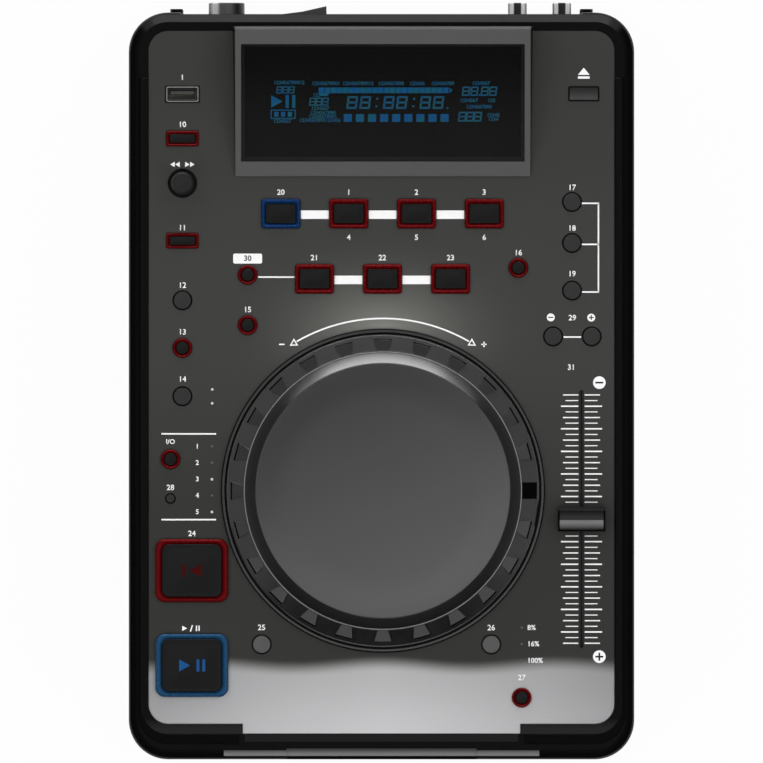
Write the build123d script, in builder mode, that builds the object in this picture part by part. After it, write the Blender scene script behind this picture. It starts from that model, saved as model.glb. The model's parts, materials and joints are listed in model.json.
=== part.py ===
from build123d import *
import os
from collections import namedtuple
from math import atan, atan2, cos, degrees, pi, radians, sin, tan

# Tabletop disc player for DJs: a cabinet with a control deck, jog wheel, pitch fader and disc tray.
# Millimetres, +X to the right, +Y towards the rear, +Z up. The origin is on the table, under the
# centre of the whole footprint, rear sockets included. Depths count from the cabinet's front edge.

# Cabinet
BODY_WIDTH = 224.0
BODY_DEPTH = 331.0
BODY_CORNER = 17.5
WALL = 2.5
SOCKET_REACH = 4.7  # how far the rear sockets stand out behind the cabinet
FOOT_HEIGHT = 8.0
FOOT_RADIUS = 11.0
FOOT_SEAT = 4.5  # height of the screw head's seat in a foot
FOOT_RECESS_RADIUS = 3.4
RIM_TOP = 85.0
RIM_UNDERSIDE = 80.0
RIM_SLOPE_IN = 4.3
RIM_SLOPE_DOWN = 3.4
RIM_SHOULDER = 2.4
REAR_RELIEF = 0.75
REAR_RELIEF_WIDTH = 177.8
FINGER_RELIEF = 0.8
FINGER_RELIEF_WIDTH = 84.3
VENT_DEPTH = 258.0
VENT_Z = 50.0
VENT_SIZE = (24.0, 2.6)
VENT_PITCH = 6.0
VENTS = 12
REAR_WINDOW = (172.0, 50.0, 16.0)  # width, height and lower edge of the opening for the rear panel
CASE_POST_RADIUS = 4.0
CASE_POST_HEIGHT = 14.0
BLIND_HOLE = 10.0  # depth of a screw hole that doesn't go through
PANEL_BOSS_RADIUS = 3.2
PAN_POST_RADIUS = 3.8
PAN_FLANGE = (107.5, 1.5, 84.0, 14.0)  # distance from the centreline, thickness, length and height
PAN_FLANGE_DEPTHS = (112.0, 218.0)
FLOOR_VENT = (26.0, 3.0)
FLOOR_VENT_PLACE = (74.0, 249.0)
FLOOR_VENT_PITCH = 9.0
FLOOR_VENTS = 7

# Groove and raised lip round the deck
GROOVE_SIDE = (4.2, 5.7)
GROOVE_FRONT = (6.7, 11.1)
GROOVE_CORNER = 13.3
GROOVE_FLOOR = 82.8
GROOVE_END = 302.0
LIP_RISE = 1.0
LIP_END_WALL = 1.7

# Deck plate
DECK_TOP = 85.0
DECK_THICKNESS = 2.0
DECK_WIDTH = 206.6
DECK_FRONT = 15.7
DECK_REAR = 322.9
DECK_CORNER = 8.9
TONGUE_WIDTH = 123.2
TONGUE_FRONT = 11.4
DECK_GAP = 0.15
DECK_POST_RADIUS = 3.0
RING_GAP = 0.1  # between a fixed piece and the opening it stands in
LEDGE = 3.0
WORK_X = 0.6  # the jog wheel and the display stand this far right of the centreline

# Boards and switches under the deck
BOARD_THICKNESS = 1.6
PANEL_BOARD_TOP = 75.6
PANEL_BOARD = (194.0, 230.0)
PANEL_BOARD_DEPTH = 135.0
WING = (26.0, 58.0)  # the panel board's two arms beside the display
WING_X = 84.0
WING_DEPTH = 278.0
SWITCH_SIZE = 6.0
SWITCH_TOP = 79.0
SWITCH_BODY = 2.6
SWITCH_PLUNGER = 1.7
ENCODER = (12.0, 12.0, 4.6)
KEY_BOTTOM = 80.2
FLANGE_TOP = 82.8
SKIRT_TOP = 82.0
SKIRT_WALL = 1.0

# Jog wheel
JOG_DEPTH = 119.1
COLLAR_OUTER = 71.8
COLLAR_INNER = 70.1
COLLAR_TOP = 86.5
JOG_RADIUS = 69.2
JOG_BOTTOM = 86.3
JOG_WEB = (87.6, 89.6)
JOG_EDGE_TOP = 88.9
HOLLOW_TOP = 92.2  # inner end of the hollows between the lands
JOG_RING_TOP = 93.0
JOG_PLATE_RADIUS = 61.6
JOG_FACE_RADIUS = 56.4
JOG_TOP = 98.0
JOG_LANDS = 24
LAND_RADII = (61.9, 67.4)
LAND_WIDTHS = (4.4, 8.0)
LAND_SLOPE = 0.22
LAND_LIP = (0.6, 3**0.5)  # width and slope of the facet at the lands' outer ends
LAND_DROP = 0.3  # how far the lands' inner ends lie below the ring's top
POCKET = (61.5, 68.2, 7.3)  # inner radius, outer radius and width of the square finger pocket
POCKET_FLOOR = 88.3
POST_RADIUS = 5.0
POST_TOP = 94.3
STEM_RADIUS = 4.0
BEARING_FLANGE = 11.0
NUT_RADIUS = 7.5
SENSOR_WINDOW = 9.0
HUB_RADIUS = 8.2
HUB_TOP = 93.0
CODE_STRIP = (50.0, 51.0)

# Pitch fader
FADER_X = 88.6
FADER_DEPTH = 106.5
FADER_SLOT = 114.0
FADER_SLOT_WIDTH = 2.1
FADER_CASE = (15.0, 129.0, 12.6)
FADER_CAP = (21.0, 10.8)
FADER_TOP = 94.0

# Display housing
DISPLAY_WIDTH = 130.8
DISPLAY_FRONT = 258.3
DISPLAY_REAR = 324.9
DISPLAY_FRONT_TOP = 85.8
DISPLAY_TOP = 105.0
DISPLAY_FLARE = 1.2  # how far each side wall leans out at its rear foot
DISPLAY_WALL = 2.0
WINDOW_WIDTH = 125.4
WINDOW_FRONT = 264.9
WINDOW_REAR = 316.6
WINDOW_THICKNESS = 1.5
WINDOW_DROP = 0.3

# Disc loader
DISC_DEPTH = 78.0
LOADER_FLOOR = 15.0
LOADER_SPAN = 69.0
LOADER_FRONT = 12.0
LOADER_REAR = 172.0
LOADER_WALL_TOP = 45.0
BRIDGE_TOP = 47.5
TRAY_WIDTH = 129.0
TRAY_BOTTOM = 34.0
TRAY_TOP = 41.0
TRAY_FRONT = 3.8
TRAY_REAR = 166.0
DISH_RADIUS = 60.5
SMALL_DISH_RADIUS = 41.0
DISH_FLOOR = 36.0
TRAY_SLOT = 50.0
DOOR_WIDTH = 135.0
DOOR_THICKNESS = 3.6
DOOR_HEIGHTS = (28.5, 46.5)
DOOR_GAP = 0.5
GEAR_MODULE = 1.5
GEAR_TEETH = 18
GEAR_X = -41.5
GEAR_DEPTH = 24.0
GEAR_HEIGHTS = (29.6, 33.4)
GEAR_SHAFT = 1.5
TRAVERSE = (24.0, 26.0)
RAIL_RADIUS = 1.5
RAIL_X = 20.0
RAIL_Z = 29.5
RAIL_ENDS = (94.0, 161.0)
SPINDLE_SHAFT = 1.0
TURNTABLE_RADIUS = 14.0
TURNTABLE_HEIGHTS = (30.0, 37.0)
PICKUP_HOME = 106.0
PICKUP_LENGTH = 18.0

# Rear panel
PANEL_SETBACK = 4.0
PANEL_THICKNESS = 1.5
PANEL_WIDTH = 196.0
PANEL_TOP = 70.0
SOCKET_Z = 46.0
AUDIO_X = (60.4, 80.1)
AUDIO_RADIUS = 4.15
AUDIO_BORE = 1.6
INLET_X = -68.8
INLET_RADIUS = 8.0
SHELL_NECK = 0.3  # how much narrower a socket's shell is inside the panel than behind it
ROCKER_X = -34.0
ROCKER_HEIGHT = 12.6
ROCKER_TILT = 10.1
ROCKER_CASE = (26.0, 20.0, 17.0)

# Track knob and USB socket
TRACK_X = -88.2
TRACK_DEPTH = 255.3
TRACK_HOLE = 6.5
TRACK_RADIUS = 5.0
TRACK_TOP = 95.0
TRACK_SHAFT = 3.0
USB_X = -88.2
USB_DEPTH = 294.7
USB_SIZE = (15.2, 7.5)
USB_PORT = (12.6, 5.2, 8.4)

# Fasteners
SCREW_RADIUS = 1.45
SCREW_HOLE = 1.5
SCREW_LENGTH = 8.0
SCREW_HEAD = (2.8, 1.8)
SCREW_CROSS = (3.6, 0.8, 0.8)  # length, width and depth of the cross in a head

FRONT = -(BODY_DEPTH + SOCKET_REACH) / 2
REAR = FRONT + BODY_DEPTH
DECK_UNDER = DECK_TOP - DECK_THICKNESS
BOARD_UNDER = PANEL_BOARD_TOP - BOARD_THICKNESS
PAN_TOP = FOOT_HEIGHT + 1.5
PANEL_Y = REAR - PANEL_SETBACK
GEAR_PITCH = GEAR_MODULE * GEAR_TEETH / 2
DISPLAY_SLOPE = atan((DISPLAY_TOP - DISPLAY_FRONT_TOP) / (DISPLAY_REAR - DISPLAY_FRONT))
STANDING = (Align.CENTER, Align.CENTER, Align.MIN)
HANGING = (Align.CENTER, Align.CENTER, Align.MAX)

# A kind of key: the opening it fills, its cap, and how far cap and light ring stand above the deck.
# An unlit kind has a ring_rise of 0.
Form = namedtuple("Form", "outer corner cap cap_corner rise ring_rise")
FORMS = {
    "large": Form((32.3, 28.0), 4.2, (26.4, 23.3), 2.6, 2.6, 2.2),
    "pad": Form((17.4, 13.2), 1.3, (13.2, 8.5), 0.8, 1.9, 1.7),
    "bar": Form((14.5, 7.0), 0.9, (11.2, 3.7), 0.5, 1.6, 1.4),
    "lit_round": Form((8.9, 8.9), 4.45, (5.5, 5.5), 2.75, 1.7, 1.5),
    "round": Form((8.9, 8.9), 4.45, (8.2, 8.2), 4.1, 1.1, 0),
    "plain_bar": Form((13.8, 6.7), 0.7, (13.1, 6.0), 0.6, 1.0, 0),
    "small": Form((4.8, 4.8), 2.4, (4.2, 4.2), 2.1, 0.6, 0),
}
KEY_GAP = 0.25  # between a cap and its light ring
KEY_FLANGE = 1.0

# Keys by name: (x, depth, kind, light ring colour)
KEYS = {
    "play_key": (-84.0, 41.7, "large", "blue"),
    "cue_key": (-84.0, 83.7, "large", "red"),
    "memory_key": (-44.6, 241.8, "pad", "blue"),
    "hot_cue_1_key": (-14.5, 241.8, "pad", "red"),
    "hot_cue_2_key": (15.5, 241.8, "pad", "red"),
    "hot_cue_3_key": (45.5, 241.8, "pad", "red"),
    "loop_in_key": (-29.7, 212.9, "pad", "red"),
    "loop_out_key": (0.4, 212.9, "pad", "red"),
    "reloop_key": (30.6, 212.9, "pad", "red"),
    "folder_key": (-88.2, 275.1, "bar", "red"),
    "source_key": (-88.2, 229.8, "bar", "red"),
    "relay_key": (-88.2, 182.3, "lit_round", "red"),
    "effect_key": (-93.5, 133.0, "lit_round", "red"),
    "memo_key": (-59.3, 214.7, "lit_round", "red"),
    "brake_key": (-59.3, 192.4, "lit_round", "red"),
    "reverse_key": (60.6, 217.8, "lit_round", "red"),
    "master_tempo_key": (62.1, 27.4, "lit_round", "red"),
    "program_key": (-88.2, 203.4, "round", None),
    "jog_mode_key": (-88.2, 160.9, "round", None),
    "title_key": (84.4, 247.0, "round", None),
    "time_key": (84.4, 228.8, "round", None),
    "single_key": (84.4, 207.7, "round", None),
    "bend_minus_key": (76.0, 187.4, "round", None),
    "bend_plus_key": (93.1, 187.4, "round", None),
    "tap_key": (-53.1, 51.0, "round", None),
    "range_key": (48.6, 51.0, "round", None),
    "eject_key": (89.6, 294.9, "plain_bar", None),
    "effect_select_key": (-93.5, 115.6, "small", None),
}

# Where posts, feet and screws stand: (x, depth), or (x, z) on the rear panel
DECK_POSTS = [(-35, 28), (35, 28), (-75, 60), (75, 45), (-95, 216), (95, 218), (-75, 298), (75, 298)]
CASE_POSTS = [(x, depth) for x in (-106, 106) for depth in (60, 165, 270)]
FEET = [(x, depth) for x in (-86, 86) for depth in (28, 303)]
LOADER_POSTS = [(x, depth) for x in (-61, 61) for depth in (40, 160)]
MAIN_BOARD_POSTS = [(x, depth) for x in (-86, 36) for depth in (196, 302)]
POWER_BOARD_POSTS = [(x, depth) for x in (52, 96) for depth in (196, 302)]
PANEL_SCREWS = [(x, z) for x in (-91, 91) for z in (22, 58)]


def at(depth):
    """Y of a point this far behind the cabinet's front edge."""
    return FRONT + depth


JOG = (WORK_X, at(JOG_DEPTH))


def finish(part, name):
    """Names a finished piece and writes its file."""
    part.label = name
    export_step(part, f"parts/{name}.step")


def grown(size, amount):
    """A width and a length with this much added on every side."""
    return (size[0] + 2 * amount, size[1] + 2 * amount)


def pad_outline(size, corner, mode=Mode.ADD):
    """Adds a rounded rectangle, or a circle where the corners meet, to the open sketch."""
    if 2 * corner >= min(size) - 0.01:
        Circle(size[0] / 2, mode=mode)
    else:
        RectangleRounded(*size, corner, mode=mode)


def cabinet_outline(inset, corner):
    """Adds the cabinet's outline, this far inside its edges, to the open sketch."""
    with Locations((0, at(BODY_DEPTH / 2))):
        RectangleRounded(BODY_WIDTH - 2 * inset, BODY_DEPTH - 2 * inset, corner)


def deck_outline(grow=0.0, mode=Mode.ADD):
    """Adds the outline of the deck, with the tongue at its front, to the open sketch."""
    length = DECK_REAR - DECK_FRONT + 2 * grow
    with Locations((0, at((DECK_FRONT + DECK_REAR) / 2))):
        RectangleRounded(DECK_WIDTH + 2 * grow, length, DECK_CORNER + grow, mode=mode)
    tongue = DECK_FRONT - TONGUE_FRONT + DECK_CORNER
    with Locations((0, at(TONGUE_FRONT - grow))):
        Rectangle(TONGUE_WIDTH + 2 * grow, tongue, align=(Align.CENTER, Align.MIN), mode=mode)


def rim_channel(side, front, corner, mode=Mode.ADD):
    """Adds the area within these distances of the sides and the front, as far back as the groove."""
    overrun = 40
    length = GROOVE_END + overrun - front
    with Locations((0, at(front + length / 2))):
        RectangleRounded(BODY_WIDTH - 2 * side, length, corner, mode=mode)


def clear_strip(width, start, stop):
    """Takes a strip across the middle out of the open sketch, between two depths."""
    with Locations((0, at(start))):
        Rectangle(width, stop - start, align=(Align.CENTER, Align.MIN), mode=Mode.SUBTRACT)


def box(x, depth, z, size, mode=Mode.ADD):
    """Adds a box that is centred on x and depth and stands at the height z, or cuts it away."""
    with Locations((x, at(depth), z)):
        Box(*size, align=STANDING, mode=mode)


def column(x, depth, bottom, top, radius, mode=Mode.ADD):
    """Adds an upright cylinder, or cuts it away."""
    with Locations((x, at(depth), bottom)):
        Cylinder(radius, top - bottom, align=STANDING, mode=mode)


def rear_facing(x, y, z):
    """A plane that looks out of the back, for pieces with their axis along Y."""
    return Plane((x, y, z), x_dir=(1, 0, 0), z_dir=(0, 1, 0))


def cut_rim_channels():
    """Cuts the groove into the rim and adds the raised lip behind it."""
    (side_out, side_in), (front_out, front_in) = GROOVE_SIDE, GROOVE_FRONT
    inner_corner = GROOVE_CORNER - (side_in - side_out)
    with BuildSketch(Plane.XY.offset(GROOVE_FLOOR)) as groove:
        rim_channel(side_out, front_out, GROOVE_CORNER)
        clear_strip(TONGUE_WIDTH + 2 * LIP_END_WALL, 0, GROOVE_END)
        clear_strip(BODY_WIDTH, GROOVE_END, BODY_DEPTH + 20)
        rim_channel(side_in, front_in, inner_corner, mode=Mode.SUBTRACT)
    extrude(groove.sketch, amount=RIM_TOP - GROOVE_FLOOR, mode=Mode.SUBTRACT)
    with BuildSketch(Plane.XY.offset(RIM_TOP - 1)) as lip:
        rim_channel(side_in, front_in, inner_corner)
        clear_strip(TONGUE_WIDTH, 0, DECK_FRONT + DECK_CORNER)
        clear_strip(BODY_WIDTH, GROOVE_END, BODY_DEPTH + 20)
        deck_outline(mode=Mode.SUBTRACT)
    extrude(lip.sketch, amount=1 + LIP_RISE)


def make_body_shell():
    """The black cabinet: walls, sloped rim, groove, raised lip and ledge for the deck."""
    shoulder = RIM_TOP - RIM_SLOPE_DOWN
    slope = RIM_SLOPE_DOWN / RIM_SLOPE_IN
    with BuildPart() as shell:
        with BuildSketch(Plane.XY.offset(FOOT_HEIGHT)):
            cabinet_outline(0, BODY_CORNER)
        extrude(amount=RIM_TOP - FOOT_HEIGHT)
        top = shell.faces().sort_by(Axis.Z)[-1]
        chamfer(top.edges(), length=RIM_SLOPE_IN, length2=RIM_SLOPE_DOWN, reference=top)
        fillet(shell.edges().filter_by_position(Axis.Z, shoulder - 0.01, shoulder + 0.01), RIM_SHOULDER)
        with BuildSketch(Plane.XY.offset(FOOT_HEIGHT)):
            cabinet_outline(WALL, BODY_CORNER - WALL)
        extrude(amount=RIM_UNDERSIDE - FOOT_HEIGHT, mode=Mode.SUBTRACT)
        cut_rim_channels()
        lip_height = RIM_TOP + LIP_RISE
        lip_edges = shell.edges().filter_by_position(Axis.Z, lip_height - 0.01, lip_height + 0.01)
        fillet(lip_edges, radius=0.6)
        # recess and opening for the deck
        with BuildSketch(Plane.XY.offset(DECK_UNDER)):
            deck_outline()
        extrude(amount=DECK_THICKNESS, mode=Mode.SUBTRACT)
        with BuildSketch(Plane.XY.offset(RIM_UNDERSIDE)):
            deck_outline(-LEDGE)
        extrude(amount=DECK_UNDER - RIM_UNDERSIDE, mode=Mode.SUBTRACT)
        # shallow relief for the fingers along the front slope
        start = -1.0
        low = RIM_TOP - slope * (RIM_SLOPE_IN + FINGER_RELIEF - start)
        with BuildSketch(Plane.YZ):
            relief_rear = at(RIM_SLOPE_IN + FINGER_RELIEF)
            Polygon((at(start), low), (relief_rear, RIM_TOP), (at(start), RIM_TOP), align=None)
        extrude(amount=FINGER_RELIEF_WIDTH / 2, both=True, mode=Mode.SUBTRACT)
        # the rear wall between the corners is set in a little
        box(0, BODY_DEPTH, FOOT_HEIGHT, (REAR_RELIEF_WIDTH, 2 * REAR_RELIEF, RIM_TOP), Mode.SUBTRACT)
        # openings for the tray door and the rear panel
        low, high = DOOR_HEIGHTS
        mouth = (DOOR_WIDTH + 2 * DOOR_GAP, 2 * WALL, high - low + 2 * DOOR_GAP)
        box(0, WALL / 2, low - DOOR_GAP, mouth, Mode.SUBTRACT)
        width, height, sill = REAR_WINDOW
        box(0, BODY_DEPTH, sill, (width, 4 * WALL, height), Mode.SUBTRACT)
        # cooling slots in both side walls, beside the power board
        with BuildSketch(Plane.YZ):
            with Locations((at(VENT_DEPTH), VENT_Z)):
                with GridLocations(VENT_PITCH, 0, VENTS, 1):
                    SlotOverall(*VENT_SIZE, rotation=90)
        extrude(amount=BODY_WIDTH, both=True, mode=Mode.SUBTRACT)
        # posts for the base pan's screws, merged with the side walls, and bosses at the rear panel
        for x, depth in CASE_POSTS:
            column(x, depth, PAN_TOP, PAN_TOP + CASE_POST_HEIGHT, CASE_POST_RADIUS)
            column(x, depth, PAN_TOP, PAN_TOP + BLIND_HOLE, SCREW_HOLE, Mode.SUBTRACT)
        for x, z in PANEL_SCREWS:
            with Locations(rear_facing(x, PANEL_Y, z)):
                Cylinder(PANEL_BOSS_RADIUS, PANEL_SETBACK - WALL, align=STANDING)
                Cylinder(SCREW_HOLE, BLIND_HOLE, align=STANDING, mode=Mode.SUBTRACT)
    return shell.part


def make_base_pan():
    """The steel base: floor, side flanges, rear panel with its cut-outs, and stand-offs."""
    inset = WALL + 0.2
    length = BODY_DEPTH - PANEL_SETBACK - inset
    floor = PAN_TOP - FOOT_HEIGHT
    board_posts = MAIN_BOARD_POSTS + POWER_BOARD_POSTS
    with BuildPart() as pan:
        with BuildSketch(Plane.XY.offset(FOOT_HEIGHT)):
            with Locations((0, at(inset + length / 2))):
                RectangleRounded(BODY_WIDTH - 2 * inset, length, BODY_CORNER - inset)
        extrude(amount=floor)
        flange_x, *flange_size = PAN_FLANGE
        for side in (-1, 1):
            for depth in PAN_FLANGE_DEPTHS:
                box(side * flange_x, depth, PAN_TOP, flange_size)
        panel_depth = BODY_DEPTH - PANEL_SETBACK - PANEL_THICKNESS / 2
        box(0, panel_depth, FOOT_HEIGHT, (PANEL_WIDTH, PANEL_THICKNESS, PANEL_TOP - FOOT_HEIGHT))
        for x, depth in LOADER_POSTS + board_posts:
            column(x, depth, PAN_TOP, LOADER_FLOOR, PAN_POST_RADIUS)
        for x, depth in LOADER_POSTS + board_posts + CASE_POSTS + FEET:
            column(x, depth, FOOT_HEIGHT, LOADER_FLOOR, SCREW_HOLE, Mode.SUBTRACT)
        # cut-outs for the sockets, the power switch and the panel screws
        with BuildSketch(Plane((0, PANEL_Y, 0), x_dir=(-1, 0, 0), z_dir=(0, 1, 0))):
            for x in AUDIO_X:
                with Locations((-x, SOCKET_Z)):
                    Circle(AUDIO_RADIUS + RING_GAP)
            with Locations((-INLET_X, SOCKET_Z)):
                Circle(INLET_RADIUS + RING_GAP)
            with Locations((-ROCKER_X, SOCKET_Z)):
                Rectangle(ROCKER_CASE[0] + 2 * RING_GAP, ROCKER_CASE[2] + 2 * RING_GAP)
            for x, z in PANEL_SCREWS:
                with Locations((-x, z)):
                    Circle(SCREW_HOLE)
        extrude(amount=-PANEL_THICKNESS, mode=Mode.SUBTRACT)
        # rows of cooling slots under the power board
        with BuildSketch(Plane.XY.offset(FOOT_HEIGHT)):
            with Locations((FLOOR_VENT_PLACE[0], at(FLOOR_VENT_PLACE[1]))):
                with GridLocations(0, FLOOR_VENT_PITCH, 1, FLOOR_VENTS):
                    SlotOverall(*FLOOR_VENT)
        extrude(amount=floor, mode=Mode.SUBTRACT)
    return pan.part


def make_feet():
    """Four rubber feet with a recess for the screw head."""
    with BuildPart() as feet:
        for x, depth in FEET:
            column(x, depth, 0, FOOT_HEIGHT, FOOT_RADIUS)
        chamfer(feet.edges().group_by(Axis.Z)[0], length=1)
        for x, depth in FEET:
            column(x, depth, 0, FOOT_SEAT, FOOT_RECESS_RADIUS, Mode.SUBTRACT)
            column(x, depth, FOOT_SEAT, FOOT_HEIGHT, SCREW_HOLE, Mode.SUBTRACT)
    return feet.part


def screw(plane):
    """Adds one screw whose head stands on the plane and whose shank goes back through it."""
    radius, height = SCREW_HEAD
    with Locations(plane):
        Cylinder(radius, height, align=STANDING)
        Cylinder(SCREW_RADIUS, SCREW_LENGTH, align=HANGING)
        length, width, drop = SCREW_CROSS
        with Locations((0, 0, height)):
            Box(length, width, 2 * drop, mode=Mode.SUBTRACT)
            Box(width, length, 2 * drop, mode=Mode.SUBTRACT)


def make_case_screws():
    """Every screw: feet, base pan, panel board, loader, base boards and rear panel."""
    from_below = [(x, depth, FOOT_SEAT) for x, depth in FEET]
    from_below += [(x, depth, FOOT_HEIGHT) for x, depth in CASE_POSTS]
    from_below += [(x, depth, BOARD_UNDER) for x, depth in DECK_POSTS]
    from_above = LOADER_POSTS + MAIN_BOARD_POSTS + POWER_BOARD_POSTS
    with BuildPart() as screws:
        for x, depth, z in from_below:
            screw(Plane((x, at(depth), z), x_dir=(1, 0, 0), z_dir=(0, 0, -1)))
        for x, depth in from_above:
            screw(Plane((x, at(depth), LOADER_FLOOR + BOARD_THICKNESS)))
        for x, z in PANEL_SCREWS:
            screw(rear_facing(x, REAR, z))
    return screws.part


def make_deck_plate():
    """The metal-finished control panel with all its openings and the posts that carry the board."""
    window_depth = (WINDOW_FRONT + WINDOW_REAR) / 2
    with BuildPart() as deck:
        with BuildSketch(Plane.XY.offset(DECK_UNDER)):
            deck_outline(-DECK_GAP)
            for x, depth, kind, _ in KEYS.values():
                with Locations((x, at(depth))):
                    pad_outline(FORMS[kind].outer, FORMS[kind].corner, Mode.SUBTRACT)
            with Locations((TRACK_X, at(TRACK_DEPTH))):
                Circle(TRACK_HOLE, mode=Mode.SUBTRACT)
            with Locations((USB_X, at(USB_DEPTH))):
                Rectangle(*grown(USB_SIZE, RING_GAP), mode=Mode.SUBTRACT)
            with Locations((FADER_X, at(FADER_DEPTH))):
                SlotOverall(FADER_SLOT, FADER_SLOT_WIDTH, rotation=90, mode=Mode.SUBTRACT)
            with Locations(JOG):
                Circle(STEM_RADIUS + RING_GAP, mode=Mode.SUBTRACT)
            with Locations((JOG[0], JOG[1] - sum(CODE_STRIP) / 2)):
                Rectangle(SENSOR_WINDOW, SENSOR_WINDOW, mode=Mode.SUBTRACT)
            with Locations((WORK_X, at(window_depth))):
                Rectangle(WINDOW_WIDTH - 2, WINDOW_REAR - WINDOW_FRONT, mode=Mode.SUBTRACT)
        extrude(amount=DECK_THICKNESS)
        for x, depth in DECK_POSTS:
            column(x, depth, PANEL_BOARD_TOP, DECK_UNDER, DECK_POST_RADIUS)
            column(x, depth, PANEL_BOARD_TOP, DECK_UNDER, SCREW_HOLE, Mode.SUBTRACT)
    return deck.part


def make_key(x, depth, kind):
    """A key cap with the flange that keeps it under the deck."""
    form = FORMS[kind]
    flange_top = SKIRT_TOP - 0.2 if form.ring_rise else FLANGE_TOP
    with BuildPart() as key:
        with BuildSketch(Plane((x, at(depth), KEY_BOTTOM))):
            pad_outline(grown(form.cap, KEY_FLANGE), form.cap_corner + KEY_FLANGE)
        extrude(amount=flange_top - KEY_BOTTOM)
        with BuildSketch(Plane((x, at(depth), KEY_BOTTOM))):
            pad_outline(form.cap, form.cap_corner)
        extrude(amount=DECK_TOP + form.rise - KEY_BOTTOM)
        fillet(key.edges().group_by(Axis.Z)[-1], radius=min(0.6, form.rise * 0.4))
    return key.part


def skirt_size(form):
    """Inside size and corner of a light ring's skirt, which clears the key's flange and its switch."""
    switch_circle = SWITCH_SIZE * 2**0.5 + 0.9
    size = tuple(max(side + 2 * KEY_FLANGE + 0.6, switch_circle) for side in form.cap)
    corner = size[0] / 2 if form.cap[0] == form.cap[1] else 1.5
    return size, corner


def light_ring(x, depth, form):
    """Adds one light ring: a skirt on the board and the frame that shows round the key."""
    centre = (x, at(depth))
    skirt, corner = skirt_size(form)
    frame_height = DECK_TOP + form.ring_rise - SKIRT_TOP
    with BuildSketch(Plane((*centre, PANEL_BOARD_TOP))) as skirt_outside:
        pad_outline(grown(skirt, SKIRT_WALL), corner + SKIRT_WALL)
    extrude(skirt_outside.sketch, amount=DECK_UNDER - RING_GAP - PANEL_BOARD_TOP)
    with BuildSketch(Plane((*centre, SKIRT_TOP))) as frame_outside:
        pad_outline(grown(form.outer, -RING_GAP), form.corner - RING_GAP)
    extrude(frame_outside.sketch, amount=frame_height)
    with BuildSketch(Plane((*centre, PANEL_BOARD_TOP))) as skirt_inside:
        pad_outline(skirt, corner)
    extrude(skirt_inside.sketch, amount=SKIRT_TOP - PANEL_BOARD_TOP, mode=Mode.SUBTRACT)
    with BuildSketch(Plane((*centre, SKIRT_TOP))) as frame_inside:
        pad_outline(grown(form.cap, KEY_GAP), form.cap_corner + KEY_GAP)
    extrude(frame_inside.sketch, amount=frame_height, mode=Mode.SUBTRACT)


def make_light_rings(colour):
    """The translucent frames round the lit keys of one colour."""
    with BuildPart() as rings:
        for x, depth, kind, ring_colour in KEYS.values():
            if ring_colour == colour:
                light_ring(x, depth, FORMS[kind])
        for form in FORMS.values():
            top = DECK_TOP + form.ring_rise
            edges = rings.edges().filter_by_position(Axis.Z, top - 0.01, top + 0.01)
            if edges:
                fillet(edges, radius=0.35)
    return rings.part


def board(posts):
    """Adds a circuit board that lies on four of the base pan's stand-offs."""
    (left, near), (right, far) = posts[0], posts[-1]
    with BuildSketch(Plane.XY.offset(LOADER_FLOOR)) as outline:
        with Locations(((left + right) / 2, at((near + far) / 2))):
            Rectangle(right - left + 10, far - near + 10)
        for x, depth in posts:
            with Locations((x, at(depth))):
                Circle(SCREW_HOLE, mode=Mode.SUBTRACT)
    extrude(outline.sketch, amount=BOARD_THICKNESS)


def make_circuit_boards():
    """The panel board under the deck, with the jog sensor, and the main and power boards."""
    sensor_depth = JOG_DEPTH - sum(CODE_STRIP) / 2
    level = LOADER_FLOOR + BOARD_THICKNESS
    blocks = [
        (-50, 232, (24, 24, 2.4)),
        (-8, 226, (16, 10, 2)),
        (-12, 262, (20, 20, 2.2)),
        (-60, 274, (8, 26, 9)),
        (10, 288, (30, 8, 9)),
        (74, 222, (30, 26, 24)),
        (62, 258, (10, 22, 18)),
    ]
    capacitors = [(86, 252, 8, 24), (86, 272, 8, 24), (66, 284, 5, 16), (-30, 292, 4, 11)]
    with BuildPart() as boards:
        with BuildSketch(Plane.XY.offset(BOARD_UNDER)):
            with Locations((0, at(PANEL_BOARD_DEPTH))):
                Rectangle(*PANEL_BOARD)
            for side in (-1, 1):
                with Locations((side * WING_X, at(WING_DEPTH))):
                    Rectangle(*WING)
            with Locations((FADER_X, at(FADER_DEPTH))):
                Rectangle(*grown(FADER_CASE, 0.5), mode=Mode.SUBTRACT)
            for x, depth in DECK_POSTS:
                with Locations((x, at(depth))):
                    Circle(SCREW_HOLE, mode=Mode.SUBTRACT)
        extrude(amount=BOARD_THICKNESS)
        # optical sensor that reads the code strip under the jog wheel, and the slit the strip runs in
        sensor = (SENSOR_WINDOW - 1, SENSOR_WINDOW - 1, JOG_WEB[0] - 0.4 - PANEL_BOARD_TOP)
        box(WORK_X, sensor_depth, PANEL_BOARD_TOP, sensor)
        slit = (SENSOR_WINDOW, CODE_STRIP[1] - CODE_STRIP[0] + 1.4, JOG_WEB[0] - DECK_TOP)
        box(WORK_X, sensor_depth, DECK_TOP + 0.3, slit, Mode.SUBTRACT)
        board(MAIN_BOARD_POSTS)
        board(POWER_BOARD_POSTS)
        for x, depth, size in blocks:
            box(x, depth, level, size)
        for x, depth, radius, height in capacitors:
            column(x, depth, level, level + height, radius)
    return boards.part


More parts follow.
